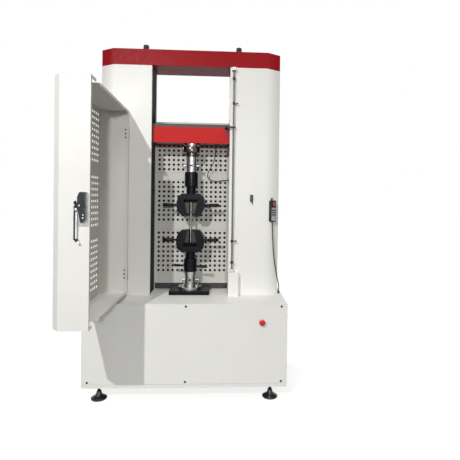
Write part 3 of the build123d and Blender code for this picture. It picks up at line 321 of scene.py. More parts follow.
def broken_edges(part, width, segments=2, sharper_than=35):
    """Rounds every edge that is sharper than the given angle."""
    pick_up(part)
    bpy.ops.object.shade_smooth()
    edges = part.modifiers.new("broken_edges", "BEVEL")
    edges.width = width
    edges.segments = segments
    edges.limit_method = "ANGLE"
    edges.angle_limit = math.radians(sharper_than)
    bpy.ops.object.modifier_apply(modifier=edges.name)
    flats = part.modifiers.new("even_flats", "WEIGHTED_NORMAL")
    flats.weight = 100
    flats.keep_sharp = True
    bpy.ops.object.modifier_apply(modifier=flats.name)
    return part


def fitted(parts, name, finish, body, stands_for=(), creased=None):
    """Joins the parts into one named piece with its finish, riding on its body."""
    lay_down()
    for part in parts:
        part.select_set(True)
    made = parts[0]
    bpy.context.view_layer.objects.active = made
    if len(parts) > 1:
        bpy.ops.object.join()
    made.name = name
    made.data.name = name
    made.data.materials.clear()
    made.data.materials.append(finish)
    if creased:
        pick_up(made)
        bpy.ops.object.shade_smooth_by_angle(angle=math.radians(creased))
    if body:
        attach(made, body)
    if stands_for:
        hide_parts(*stands_for)
    return made


def dressed(node, finish, edge=0.0010, segments=2):
    """The node's own solid with its edges broken, standing for the sharp one."""
    shell = bpy.data.objects.new(node + "_shell", cad_nodes[node].data.copy())
    bpy.context.scene.collection.objects.link(shell)
    open_whole(shell)
    bpy.ops.mesh.remove_doubles(threshold=1e-6)
    bpy.ops.mesh.dissolve_limited(angle_limit=math.radians(0.5))
    close_mesh()
    broken_edges(shell, edge, segments)
    return fitted([shell], node + "_shell", finish, body_of[node], (node,))


def kept(node, finish):
    """A node that shows its own solid gets its finish."""
    mesh = cad_nodes[node].data
    mesh.materials.clear()
    mesh.materials.append(finish)


def button_head(place, along, radius, height):
    """A button-head screw with a socket."""
    socket = radius * 0.42
    profile = [
        (0, radius),
        (height * 0.35, radius * 0.98),
        (height * 0.75, radius * 0.8),
        (height, radius * 0.55),
        (height, socket),
        (height * 0.45, socket * 0.92),
    ]
    return turned(place, along, profile, 20)


def cap_head(place, along, radius, height):
    """A cap screw's head with a socket and a chamfered rim."""
    rim = radius * 0.1
    socket = radius * 0.52
    profile = [
        (0, radius),
        (height - rim, radius),
        (height, radius - rim),
        (height, socket),
        (height * 0.4, socket * 0.96),
    ]
    return turned(place, along, profile, 24)


# Camera, which has the photograph's view of the machine

picture_side = 460
focal_pixels = 410.535
centre_across = 242.200
centre_down = 202.815
eye = Vector((0.22089, -3.08587, 1.32517))
yaw = 0.0523689
pitch = -0.0060776
roll = 0.0127668
ahead = Vector((math.sin(yaw) * math.cos(pitch), math.cos(yaw) * math.cos(pitch), math.sin(pitch)))
level_side = Vector((math.cos(yaw), -math.sin(yaw), 0))
level_top = level_side.cross(ahead)
side_axis = math.cos(roll) * level_side + math.sin(roll) * level_top
top_axis = -math.sin(roll) * level_side + math.cos(roll) * level_top
bpy.ops.object.camera_add()
camera = bpy.context.object
camera.matrix_world = Matrix.Translation(eye) @ Matrix((side_axis, top_axis, -ahead)).transposed().to_4x4()
camera.data.sensor_width = 36
camera.data.lens = 36 * focal_pixels / picture_side
camera.data.shift_x = (picture_side / 2 - centre_across) / picture_side
camera.data.shift_y = (centre_down - picture_side / 2) / picture_side
bpy.context.scene.camera = camera
bpy.context.scene.view_settings.view_transform = "Standard"


# Cords, each on one smooth curve through its route


def route_curve(name, route):
    """A thin NURBS curve with the route's points as its control points."""
    data = bpy.data.curves.new(name, "CURVE")
    data.dimensions = "3D"
    data.resolution_u = 10
    spline = data.splines.new("NURBS")
    spline.points.add(len(route) - 1)
    for point, place in zip(spline.points, route):
        point.co = (*place, 1)
    spline.order_u = 3
    spline.use_endpoint_u = True
    curve = bpy.data.objects.new(name, data)
    bpy.context.scene.collection.objects.link(curve)
    return curve


def give_thickness(curve, radius):
    curve.data.bevel_depth = radius
    curve.data.bevel_resolution = 5
    curve.data.use_fill_caps = True


pendant_route = [
    (0.59904, -0.11128, 1.1735),
    (0.59904, -0.11128, 1.1200),
    (0.6020, -0.1090, 1.0660),
    (0.6055, -0.1080, 1.0120),
    (0.6090, -0.1050, 0.9600),
    (0.6150, -0.0995, 0.9080),
    (0.6230, -0.0930, 0.8580),
    (0.6320, -0.0855, 0.8080),
    (0.6435, -0.0765, 0.7600),
    (0.6550, -0.0645, 0.7180),
    (0.6615, -0.0485, 0.6860),
    (0.6620, -0.0350, 0.6680),
    (0.6620, -0.0350, 0.6520),
]
pendant_lead = route_curve("pendant_lead", pendant_route)
give_thickness(pendant_lead, 0.0035)
pendant_lead.data.materials.append(cable_jacket)
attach(pendant_lead, "frame")
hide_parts("pendant_cord")

cell_route = [
    (0.1810, 0.0240, 1.7420),
    (0.1810, 0.0240, 1.7020),
    (0.1770, 0.0340, 1.6590),
    (0.1660, 0.0440, 1.6180),
    (0.1485, 0.0540, 1.5800),
    (0.1300, 0.0630, 1.5510),
    (0.1190, 0.0710, 1.5240),
    (0.1200, 0.0780, 1.4970),
    (0.1350, 0.0850, 1.4795),
    (0.1600, 0.0920, 1.4720),
    (0.1960, 0.0990, 1.4695),
    (0.2360, 0.1065, 1.4780),
    (0.2720, 0.1065, 1.4780),
]
cell_lead = route_curve("load_cell_lead", cell_route)
cell_path = [tuple(vertex.co) for vertex in bpy.data.meshes.new_from_object(cell_lead).vertices]
give_thickness(cell_lead, 0.003)
pick_up(cell_lead)
bpy.ops.object.convert(target="MESH")
cell_lead = bpy.context.object
bpy.ops.object.shade_smooth()
cell_lead.data.materials.clear()
cell_lead.data.materials.append(cable_jacket)
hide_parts("load_cell_cable")
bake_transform(cell_lead)


# Base, its feet and its emergency stop

for node in ("base_cover", "base_front_panel"):
    dressed(node, white_paint, 0.0012)
kept("base_frame", white_paint)
for node in ("servo_drive", "servo_motor", "timing_belt", "upper_beam"):
    kept(node, dark_paint)
for node in ("guide_columns", "left_ball_screw", "right_ball_screw", "nuts_and_bushes", "drive_pulley"):
    kept(node, turned_steel)

feet_low, feet_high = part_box("levelling_feet")
pad_radius = 0.052
foot_places = [
    (x, y)
    for x in (feet_low.x + pad_radius, feet_high.x - pad_radius)
    for y in (feet_low.y + pad_radius, feet_high.y - pad_radius)
]
bell = [
    (0, pad_radius - 0.003),
    (0.003, pad_radius),
    (0.009, pad_radius),
    (0.0115, pad_radius - 0.003),
    (0.0160, pad_radius - 0.012),
    (0.0220, pad_radius - 0.022),
    (0.0290, pad_radius - 0.029),
    (0.0380, pad_radius - 0.034),
    (0.0500, pad_radius - 0.0365),
    (0.0520, pad_radius - 0.0380),
]
thread_start = 0.0530
thread_pitch = 0.003
thread_turns = 9
stem = [(0.0510, 0.0090)]
for turn in range(thread_turns):
    level = thread_start + turn * thread_pitch
    stem += [(level, 0.0088), (level + thread_pitch / 2, 0.0100)]
stem += [(0.0810, 0.0088), (0.0900, 0.0088)]
first_foot = (*foot_places[0], 0)
pad = turned(first_foot, UP, bell, 48)
threaded = turned(first_foot, UP, stem, 20)
pads, stems = [pad], [threaded]
for x, y in foot_places[1:]:
    move = (x - first_foot[0], y - first_foot[1], 0)
    pads.append(copied(pad, move))
    stems.append(copied(threaded, move))
fitted(pads, "foot_pads", polished_black, "frame", ("levelling_feet",), 35)
fitted(stems, "foot_stems", black_steel, "frame", ("levelling_feet",), 35)

front_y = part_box("base_front_panel")[0].y
panel_screw_columns = (-0.637, 0, 0.637)
panel_screw_rows = (0.120, 0.619)
panel_screws = []
for x in panel_screw_columns:
    for z in panel_screw_rows:
        panel_screws.append(button_head((x, front_y, z), TO_FRONT, 0.0075, 0.004))
fitted(panel_screws, "panel_screw_heads", black_plastic, "frame", ("machine_screws",), 30)

stop_low, stop_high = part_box("estop_button")
stop_x = (stop_low.x + stop_high.x) / 2
stop_z = (stop_low.z + stop_high.z) / 2
mushroom = [
    (0.0000, 0.0060),
    (0.0002, 0.0105),
    (0.0008, 0.0150),
    (0.0022, 0.0185),
    (0.0048, 0.0203),
    (0.0095, 0.0205),
    (0.0125, 0.0198),
    (0.0140, 0.0180),
    (0.0140, 0.0060),
    (0.0470, 0.0060),
]
head = turned((stop_x, stop_low.y, stop_z), TO_BACK, mushroom, 48)
fitted([head], "estop_mushroom", red_plastic, "emergency_stop", ("estop_button",), 40)
collar = [(0, 0.0066), (0, 0.0160), (0.0060, 0.0160), (0.0078, 0.0142), (0.0080, 0.0066)]
cord_gland = [
    (0, 0.0090),
    (0.0050, 0.0090),
    (0.0060, 0.0082),
    (0.0060, 0.0070),
    (0.0140, 0.0066),
    (0.0160, 0.0048),
]
cable_gland = [(0, 0.0065), (0.0045, 0.0065), (0.0080, 0.0042)]
stop_collar = turned((stop_x, front_y, stop_z), TO_FRONT, collar)
fitted([stop_collar], "estop_collar", zinc_plate, "frame", ("panel_fittings",), 30)
cord_gland_place = (0.662, -0.035, 0.636)
cable_gland_place = (0.280, 0.1065, 1.478)
glands = [
    turned(cord_gland_place, UP, cord_gland, 6),
    turned(cable_gland_place, TO_LEFT, cable_gland, 24),
]
fitted(glands, "cord_glands", black_plastic, "frame", ("panel_fittings",), 30)


# Columns, crown and bellows

for node in ("left_column_cover", "right_column_cover"):
    dressed(node, white_paint, 0.0012)
dressed("crown_cover", crimson_paint, 0.0014, 3)
caps_low, caps_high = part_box("screw_end_caps")
cap_radius = 0.021
cap_height = caps_high.z - caps_low.z
cap_profile = [
    (0, cap_radius),
    (0.010, cap_radius),
    (0.011, cap_radius - 0.0012),
    (0.012, cap_radius),
    (cap_height - 0.008, cap_radius),
    (cap_height - 0.003, cap_radius - 0.0022),
    (cap_height, cap_radius - 0.0070),
]
left_cap = turned((caps_low.x + cap_radius, 0, caps_low.z), UP, cap_profile)
right_cap = copied(left_cap, (caps_high.x - caps_low.x - 2 * cap_radius, 0, 0))
fitted([left_cap, right_cap], "crown_caps", black_plastic, "frame", ("screw_end_caps",), 35)

fold_pitch = 0.010
ridge = 0.0100
valley = 0.0030
valley_width = 0.965


def folded_bellows(node, name):
    """Bellows on both columns as fixed folds; on the machine they open and close with the crosshead."""
    low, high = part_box(node)
    count = round((high.z - low.z) / fold_pitch)
    half_fold = (high.z - low.z) / count / 2
    squeeze = Vector((valley / ridge, valley_width, 1))
    spread = Vector((ridge / valley, 1 / valley_width, 1))
    stacks = []
    for side in (TO_LEFT, TO_RIGHT):
        back = side * high.x
        lay_down()
        bpy.ops.mesh.primitive_plane_add(size=1, location=back - side * ridge / 2 + UP * low.z)
        stack = bpy.context.object
        stack.scale = (ridge, high.y - low.y, 1)
        set_place()
        open_whole(stack)
        for half in range(2 * count):
            bpy.ops.mesh.extrude_region_move(TRANSFORM_OT_translate={"value": (0, 0, half_fold)})
            bpy.ops.transform.resize(value=spread if half % 2 else squeeze, center_override=back)
        turn_outwards(stack)
        stacks.append(stack)
    made = fitted(stacks, name, bellows_rubber, None, (node,), 20)
    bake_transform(made)


folded_bellows("bellows_upper", "upper_bellows_folds")
folded_bellows("bellows_lower", "lower_bellows_folds")


# Back guard and crosshead

kept("back_panels", guard_paint_and_shade)
dressed("back_rails", dark_paint, 0.0010, 1)
dressed("crosshead_beam", dark_paint, 0.0020)
dressed("crosshead_cover", red_paint, 0.0012)
dressed("follower_arm", dark_paint, 0.0008)


# Load cell, adapters, sleeves and grips

cell_low, cell_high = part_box("load_cell")
flange_drop = 0.014
neck_drop = 0.025
drum_drop = 0.070
flange_profile = [(0, 0.0560), (0.0015, 0.0575), (0.0125, 0.0575), (0.0140, 0.0560)]
neck_profile = [(0, 0.042), (0.011, 0.042)]
flange = turned((0, 0, cell_high.z - flange_drop), UP, flange_profile, 64)
neck = turned((0, 0, cell_high.z - neck_drop), UP, neck_profile, 48)
fitted([flange, neck], "load_cell_flange", turned_steel, "crosshead", ("load_cell",), 35)
drum_profile = [
    (0, 0.0590),
    (0.0015, 0.0620),
    (0.0045, 0.0635),
    (0.0180, 0.0635),
    (0.0186, 0.0628),
    (0.0206, 0.0628),
    (0.0212, 0.0635),
    (0.0405, 0.0635),
    (0.0435, 0.0620),
    (0.0450, 0.0590),
]
ring_profile = [
    (0, 0.0385),
    (0.0020, 0.0410),
    (0.0090, 0.0410),
    (0.0100, 0.0395),
    (0.0120, 0.0395),
    (0.0130, 0.0410),
    (0.0300, 0.0410),
]
drum = turned((0, 0, cell_high.z - drum_drop), UP, drum_profile, 64)
ring = turned((0, 0, cell_low.z), UP, ring_profile, 48)
fitted([drum, ring], "load_cell_body", bronzed_steel, "crosshead", ("load_cell",), 35)

# Each adapter's cross bore gets a black disc just inside its front: painted shade, so the bore looks dark.
bore_shade_front = -0.031
bore_shade_profile = [(0, 0.0088), (0.008, 0.0088)]
for node, hole_level in (("upper_adapter", 1.578), ("lower_adapter", 0.7295)):
    dressed(node, turned_steel, 0.0012)
    bore_shade = turned((0, bore_shade_front, hole_level), TO_BACK, bore_shade_profile, 24)
    fitted([bore_shade], node + "_bore", black_plastic, body_of[node], (), 35)
for node in ("upper_grip_body", "lower_grip_body"):
    dressed(node, black_iron, 0.0022, 3)
for node in ("upper_lock_sleeve", "lower_lock_sleeve"):
    dressed(node, black_steel, 0.0012)
sleeve_bar_level = 0.830
sleeve_bar_turn = math.radians(-15)
bar_direction = Vector((math.cos(sleeve_bar_turn), math.sin(sleeve_bar_turn), 0))
bar_grip = [(0.080, 0.0075), (0.082, 0.0100), (0.128, 0.0100), (0.131, 0.0080)]
bar_grips = [turned(UP * sleeve_bar_level, bar_direction * side, bar_grip, 28) for side in (-1, 1)]
fitted(bar_grips, "sleeve_bar_grips", black_steel, "lower_sleeve", (), 35)
dressed("grip_base_plate", black_iron, 0.0020)
bolt_circle = 0.070
flange_top = 0.682
flange_bolts = []
for turn in range(4):
    angle = math.radians(45 + 90 * turn)
    place = (bolt_circle * math.cos(angle), bolt_circle * math.sin(angle), flange_top)
    flange_bolts.append(cap_head(place, UP, 0.013, 0.016))
fitted(flange_bolts, "flange_bolt_heads", turned_steel, "frame", ("machine_screws",), 30)

jaw_face = 0.0103
jaw_angle = 12
jaw_slope = math.tan(math.radians(jaw_angle))
mouth_half_width = 0.027
jaw_inset = 0.008
jaw_play = 0.0003
near_enough = 1e-4
upper_handle_level = 1.285
lower_handle_level = 1.025
handle_start = 0.016
handle_profile_end = [(-0.078, 0.0080), (-0.077, 0.0112), (-0.074, 0.0130), (-0.004, 0.0130), (0, 0.0108)]


def jaw(grip, handle_level, wide_up, side):
    """A wedge that slides down the grip's slope, and its handle bar."""
    name = grip + ("_left" if side.x < 0 else "_right")
    node = name + "_jaw"
    low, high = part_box(node)
    near = mouth_half_width + jaw_inset * jaw_slope - jaw_play
    spread = (high.z - low.z) * jaw_slope
    wedge = block((side.x * jaw_face, side.x * near), (low.y, high.y), (low.z, high.z))
    wide_level = high.z if wide_up else low.z

    def widest(place):
        return abs(place.z - wide_level) < near_enough and abs(place.x) > near - near_enough

    open_at_corners(wedge, widest)
    bpy.ops.transform.translate(value=side * spread)
    close_mesh()
    turn_outwards(wedge)
    broken_edges(wedge, 0.0010)
    fitted([wedge], name + "_wedge", ground_steel_and_shade, body_of[node], (node,))
    length = max(abs(low.x), abs(high.x)) - handle_start
    handle_profile = [(0, 0.0080)] + [(length + back, radius) for back, radius in handle_profile_end]
    bar = turned(side * handle_start + UP * handle_level, side, handle_profile, 32)
    fitted([bar], name + "_handle", black_steel, body_of[node], (node,), 35)


for side in (TO_LEFT, TO_RIGHT):
    jaw("upper", upper_handle_level, True, side)
    jaw("lower", lower_handle_level, False, side)

specimen_low, specimen_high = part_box("specimen")
specimen_length = specimen_high.z - specimen_low.z
low_shoulder = 1.114 - specimen_low.z
high_shoulder = 1.196 - specimen_low.z
shoulder_length = 0.006
thick = 0.0100
thinning = 0.0030
end_chamfer = 0.001
quarter = [math.radians(15 * step) for step in range(7)]
specimen_profile = [(0, thick - end_chamfer), (end_chamfer, thick), (low_shoulder - 0.001, thick)]
for angle in quarter:
    reach = shoulder_length * math.sin(angle)
    specimen_profile.append((low_shoulder + reach, thick - thinning * (1 - math.cos(angle))))
for angle in reversed(quarter):
    reach = shoulder_length * math.sin(angle)
    specimen_profile.append((high_shoulder - reach, thick - thinning * (1 - math.cos(angle))))
specimen_profile += [(specimen_length - end_chamfer, thick), (specimen_length, thick - end_chamfer)]
bar = turned((0, 0, specimen_low.z), UP, specimen_profile, 32)
fitted([bar], "specimen_bar", drawn_steel, "frame", ("specimen",), 35)


# Limit rod, its stop collars and the switch cover

rod_low, rod_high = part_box("limit_rod")
rod_x = (rod_low.x + rod_high.x) / 2
rod_y = (rod_low.y + rod_high.y) / 2
shaft = round_bar((rod_x, rod_y, rod_low.z), (rod_x, rod_y, rod_high.z), 0.005, 0.0008)
fitted([shaft], "limit_rod_shaft", dark_drawn_steel, "rod", ("limit_rod",), 35)
collar_profile = [
    (-0.009, 0.0053),
    (-0.009, 0.0100),
    (-0.008, 0.0110),
    (-0.001, 0.0110),
    (0.000, 0.0104),
    (0.001, 0.0110),
    (0.008, 0.0110),
    (0.009, 0.0100),
    (0.009, 0.0053),
]
top_collar_level = 2.196
low_collar_level = 0.878
upper_stop_level = 2.018
lower_stop_level = 1.032
top_collar = turned((rod_x, rod_y, top_collar_level), UP, collar_profile, 32)
low_collar = copied(top_collar, (0, 0, low_collar_level - top_collar_level))
fitted([top_collar, low_collar], "fixed_collars", dark_red, "rod", ("limit_rod",), 30)
thumb_profile = [
    (0, 0.0025),
    (0.011, 0.0025),
    (0.011, 0.0046),
    (0.012, 0.0050),
    (0.021, 0.0050),
    (0.022, 0.0044),
]
thumb_start = rod_x + 0.010
for node, level in (("upper_stop_collar", upper_stop_level), ("lower_stop_collar", lower_stop_level)):
    stop_ring = turned((rod_x, rod_y, level), UP, collar_profile, 32)
    thumb_screw = turned((thumb_start, rod_y, level), TO_RIGHT, thumb_profile, 12)
    fitted([stop_ring], node + "_ring", dark_red, body_of[node], (node,), 30)
    fitted([thumb_screw], node + "_screw", black_plastic, body_of[node], (node,), 30)
dressed("limit_switch_box", white_paint, 0.0009)
column_shell = dressed("column_fittings", zinc_plate, 0.0005, 1)

# The door's keeper is a dark casting, so it leaves the zinc-plated fittings
keeper_left = 0.433
keeper_right = 0.455
keeper_bottom = 1.314
keeper_top = 1.366
keeper_margin = 0.002
keeper_farthest = -0.130
arch_level = 1.3445
column_front = -0.115


def on_keeper(place):
    across = keeper_left - keeper_margin < place.x < keeper_right + keeper_margin
    in_height = keeper_bottom - keeper_margin < place.z < keeper_top + keeper_margin
    return across and in_height and place.y > keeper_farthest


open_at_corners(column_shell, on_keeper)
bpy.ops.mesh.delete(type="VERT")
close_mesh()
keeper_middle = (keeper_left + keeper_right) / 2
upright_front = Matrix.Rotation(math.radians(90), 4, "X")
arch_place = Matrix.Translation((keeper_middle, column_front - 0.0085, arch_level)) @ upright_front
arch = broken_edges(rounded_plate(arch_place, 0.022, 0.043, 0.0035, 0.0102), 0.0010)
keeper_foot_depth = (column_front - 0.003, column_front)
keeper_foot = block((keeper_left, keeper_right), keeper_foot_depth, (keeper_bottom, keeper_top))
keeper_body = block((0.436, 0.452), (column_front - 0.0090, column_front - 0.002), (keeper_bottom, 1.343))
tab_bottom = 1.296
tab = block((0.4425, 0.4495), (column_front - 0.0045, column_front - 0.0010), (tab_bottom, 1.322))
lean(tab, tab_bottom + 0.004, 0.007)
for part in (keeper_foot, keeper_body, tab):
    broken_edges(part, 0.0008)
keeper_parts = [arch, keeper_foot, keeper_body, tab]
fitted(keeper_parts, "door_keeper", dark_paint, "frame", ("column_fittings",))


# Guard door, its hinges and latch

dressed("door_frame", door_paint, 0.0009)
kept("door_grille", grille_paint)
dressed("door_hinge_leaves", zinc_plate, 0.0005, 1)
door_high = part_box("door_frame")[1]
hinge_screw_x = door_high.x - 0.0235
hinge_screw_y = door_high.y - 0.002
hinge_screw_gap = 0.028
hinge_screws = []
for middle in (0.791, 1.788):
    for z in (middle - hinge_screw_gap, middle, middle + hinge_screw_gap):
        hinge_screws.append(button_head((hinge_screw_x, hinge_screw_y, z), TO_FRONT, 0.0055, 0.003))
fitted(hinge_screws, "hinge_screw_heads", black_steel, "door", (), 30)

end_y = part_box("latch_housing")[1].y
plate_front = end_y - 0.003
body_front = end_y - 0.030
body_left = -0.4885
body_right = -0.449
body_bottom = 1.203
body_top = 1.357
housing = block((body_left, body_right), (body_front, plate_front), (body_bottom, body_top))
corner_cuts = (
    ((-0.4745, body_top), (-0.60, 0.80)),
    ((body_left, 1.332), (-0.92, 0.39)),
    ((body_left, 1.284), (-0.98, -0.20)),
    ((body_right, 1.226), (0.90, -0.44)),
)
for (x, z), (across, rise) in corner_cuts:
    open_whole(housing)
    bpy.ops.mesh.bisect(
        plane_co=(x, body_front, z), plane_no=(across, 0, rise), use_fill=True, clear_outer=True
    )
    close_mesh()
turn_outwards(housing)
broken_edges(housing, 0.0045, 4, 20)
fitted([housing], "latch_body", latch_black, "door", ("latch_housing",))
backing_x = -0.465
backing_level = 1.2700
backing_place = Matrix.Translation((backing_x, end_y, backing_level)) @ upright_front
backing = broken_edges(rounded_plate(backing_place, 0.054, 0.172, 0.003, 0.010), 0.0006, 1)
fitted([backing], "latch_plate", zinc_plate, "door", ("latch_housing",))
nub = block((-0.508, -0.489), (end_y - 0.009, end_y), (1.271, 1.300))
broken_edges(nub, 0.0020, 2)
pivot_x = -0.501
pivot_level = 1.283
pivot_start = (pivot_x, end_y - 0.008, pivot_level)
pivot_end = (pivot_x, body_front, pivot_level)
pivot = round_bar(pivot_start, pivot_end, 0.004, 0.0008, 20)
knob_profile = [(0, 0.0030), (0.0160, 0.0030), (0.0165, 0.0085), (0.0225, 0.0085), (0.0240, 0.0070)]
knob = turned((-0.484, end_y - 0.022, 1.293), (-0.8, 0, 0.6), knob_profile, 24)
fitted([nub, pivot, knob], "latch_knob", latch_black, "door", ("latch_housing",), 35)
rivet_places = ((-0.478, 1.289), (-0.458, 1.243), (-0.459, 1.228))
rivets = [button_head((x, body_front, z), TO_FRONT, 0.0042, 0.0025) for x, z in rivet_places]
fitted(rivets, "latch_rivets", bright_steel, "door", (), 30)

lever_low, lever_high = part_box("latch_lever")
lever_thickness = lever_high.y - lever_low.y
lever_depth = (lever_low.y, lever_high.y)
spine_top = 1.2780
hook_bottom = 1.1080
disc_profile = [(0, 0.0085), (lever_thickness, 0.0085)]
spine = block((-0.5085, -0.4995), lever_depth, (1.1160, spine_top))
hook = block((-0.5070, -0.4900), lever_depth, (hook_bottom, 1.1240))
lean(hook, hook_bottom + 0.002, 0.007)
top_disc = turned((pivot_x, lever_low.y, spine_top), TO_BACK, disc_profile, 32)
for part in (spine, hook, top_disc):
    broken_edges(part, 0.0015, 3)
fitted([spine, hook, top_disc], "latch_lever_bar", latch_black, "latch", ("latch_lever",))
cheek_depth = (lever_low.y + 0.0010, lever_high.y - 0.0010)
cheek = block((-0.5000, -0.4925), cheek_depth, (1.1230, 1.2560))
foot = block((-0.4960, -0.4830), cheek_depth, (lever_low.z, 1.1120))
lean(foot, lever_low.z + 0.001, 0.006)
for part in (cheek, foot):
    broken_edges(part, 0.0012, 2)
ring_profile = [(0, 0.0042), (0.0008, 0.0072), (0.0024, 0.0072), (0.0030, 0.0042), (0, 0.0042)]
ring = turned((-0.4995, lever_low.y, 1.2700), TO_FRONT, ring_profile, 28)
lever_trim = [cheek, foot, ring]
fitted(lever_trim, "latch_lever_cheek", bright_steel, "latch", ("latch_lever",), 35)


# Pendant on the right column's chamfer

chamfer_run = 0.095
chamfer_fall = 0.057
chamfer_length = math.hypot(chamfer_run, chamfer_fall)
along_chamfer = Vector((chamfer_run, chamfer_fall, 0)) / chamfer_length
off_chamfer = Vector((chamfer_fall, -chamfer_run, 0)) / chamfer_length
chamfer_middle = Vector((0.6005, -0.0865, 0))
pendant_shift = -0.014
pendant_level = 1.250
face_stand = 0.034
key_bed = face_stand - 0.0045


def on_pendant(x, y, stand):
    """A place on the pendant: x along the chamfer, y up, standing off the chamfer."""
    origin = chamfer_middle + (pendant_shift + x) * along_chamfer + stand * off_chamfer
    origin = origin + UP * (pendant_level + y)
    return Matrix.Translation(origin) @ Matrix((along_chamfer, UP, off_chamfer)).transposed().to_4x4()


dressed("pendant_housing", black_plastic, 0.0016, 3)
key_spacing = 0.017
first_key_y = 0.006
key_width = 0.013
key_height = 0.009
key_play = 0.0012
key_columns = (-key_spacing / 2, key_spacing / 2)
key_rows = (first_key_y, first_key_y - key_spacing, first_key_y - 2 * key_spacing)
key_places = [(x, y) for y in key_rows for x in key_columns]
for number, (x, y) in enumerate(key_places, 1):
    node = "pendant_key_" + str(number)
    key = broken_edges(rounded_plate(on_pendant(x, y, key_bed), key_width, key_height, 0.0075, 0.002), 0.001)
    fitted([key], node + "_cap", key_rubber, body_of[node], (node,))
stop_button_x = 0.006
stop_button_y = 0.050
stop_cap_place = on_pendant(stop_button_x, stop_button_y, key_bed).translation
stop_cap_profile = [(0, 0.008), (0.0055, 0.008), (0.0068, 0.0074), (0.0075, 0.0055)]
stop_cap = turned(stop_cap_place, off_chamfer, stop_cap_profile, 32)
stop_node = "pendant_stop_button"
fitted([stop_cap], "pendant_stop_cap", red_plastic, body_of[stop_node], (stop_node,), 35)
plate_bottom = -0.070
plate_top = 0.024
plate_middle = (plate_bottom + plate_top) / 2
plate_width = 0.038
window_width = key_width + key_play
window_height = key_height + key_play
plate_place = on_pendant(0, plate_middle, face_stand)
face = rounded_plate(plate_place, plate_width, plate_top - plate_bottom, 0.0006, 0.004)
for x, y in key_places:
    cutter = rounded_plate(on_pendant(x, y, key_bed), window_width, window_height, 0.012, 0.002)
    pick_up(face)
    window = face.modifiers.new("key_window", "BOOLEAN")
    window.operation = "DIFFERENCE"
    window.object = cutter
    bpy.ops.object.modifier_apply(modifier=window.name)
    pick_up(cutter)
    bpy.ops.object.delete()
fitted([face], "pendant_face_plate", pendant_face, "frame", (), 35)
surround_profile = [(0, 0.0125), (0.0012, 0.0125), (0.0018, 0.0118), (0.0018, 0.0090), (0, 0.0090)]
surround_place = on_pendant(stop_button_x, stop_button_y, face_stand).translation
surround = turned(surround_place, off_chamfer, surround_profile, 40)
fitted([surround], "pendant_stop_surround", pale_red_plastic, "frame", (), 35)


# Stage: floor, backdrop and lights


def camera_or_mirror(tree):
    """1 for what the camera, a mirror or glass sees, and 0 for the light that falls on things."""
    path = tree.nodes.new("ShaderNodeLightPath")
    result = path.outputs["Is Camera Ray"]
    for other in ("Is Glossy Ray", "Is Transmission Ray"):
        either = tree.nodes.new("ShaderNodeMath")
        either.operation = "MAXIMUM"
        tree.links.new(result, either.inputs[0])
        tree.links.new(path.outputs[other], either.inputs[1])
        result = either.outputs["Value"]
    return result


def white_backdrop(soft_light):
    world = bpy.data.worlds.new("white_backdrop")
    bpy.context.scene.world = world
    world.use_nodes = True
    tree = world.node_tree
    tree.nodes.clear()
    seen = tree.nodes.new("ShaderNodeBackground")
    seen.inputs["Color"].default_value = (1, 1, 1, 1)
    seen.inputs["Strength"].default_value = 1.0
    soft = tree.nodes.new("ShaderNodeBackground")
    soft.inputs["Color"].default_value = (1, 0.97, 0.88, 1)
    soft.inputs["Strength"].default_value = soft_light
    mix = tree.nodes.new("ShaderNodeMixShader")
    tree.links.new(camera_or_mirror(tree), mix.inputs["Fac"])
    tree.links.new(soft.outputs["Background"], mix.inputs[1])
    tree.links.new(seen.outputs["Background"], mix.inputs[2])
    out = tree.nodes.new("ShaderNodeOutputWorld")
    tree.links.new(mix.outputs["Shader"], out.inputs["Surface"])


def fading(tree, near_radius, far_radius):
    """0 near the middle of the floor and 1 away from it, with a soft passage between."""
    place = tree.nodes.new("ShaderNodeTexCoord")
    distance = tree.nodes.new("ShaderNodeVectorMath")
    distance.operation = "LENGTH"
    tree.links.new(place.outputs["Object"], distance.inputs[0])
    fade = tree.nodes.new("ShaderNodeMapRange")
    fade.interpolation_type = "SMOOTHSTEP"
    fade.inputs["From Min"].default_value = near_radius
    fade.inputs["From Max"].default_value = far_radius
    tree.links.new(distance.outputs["Value"], fade.inputs["Value"])
    return fade.outputs["Result"]


def floor_finish(near_radius, far_radius, near_tone, near_glow):
    """A matt floor that takes shadows near the machine and glows white away from it."""
    material = bpy.data.materials.new("stage_floor")
    material.use_nodes = True
    tree = material.node_tree
    shader = tree.nodes["Principled BSDF"]
    shader.inputs["Roughness"].default_value = 0.9
    shader.inputs["Specular IOR Level"].default_value = 0.2
    shader.inputs["Emission Color"].default_value = (1, 1, 1, 1)
    fade = fading(tree, near_radius, far_radius)
    ramp = tree.nodes.new("ShaderNodeValToRGB")
    ramp.color_ramp.elements[0].color = (near_tone, near_tone, near_tone, 1)
    ramp.color_ramp.elements[1].color = (0, 0, 0, 1)
    tree.links.new(fade, ramp.inputs["Fac"])
    tree.links.new(ramp.outputs["Color"], shader.inputs["Base Color"])
    glow = tree.nodes.new("ShaderNodeMapRange")
    glow.inputs["To Min"].default_value = near_glow
    glow.inputs["To Max"].default_value = 1.0
    tree.links.new(fade, glow.inputs["Value"])
    shown = tree.nodes.new("ShaderNodeMath")
    shown.operation = "MULTIPLY"
    tree.links.new(glow.outputs["Result"], shown.inputs[0])
    tree.links.new(camera_or_mirror(tree), shown.inputs[1])
    tree.links.new(shown.outputs["Value"], shader.inputs["Emission Strength"])
    return material


def pale_floor(radius, finish):
    lay_down()
    bpy.ops.mesh.primitive_circle_add(vertices=64, radius=radius, fill_type="NGON")
    floor = bpy.context.object
    floor.name = "stage_floor"
    floor.data.materials.append(finish)


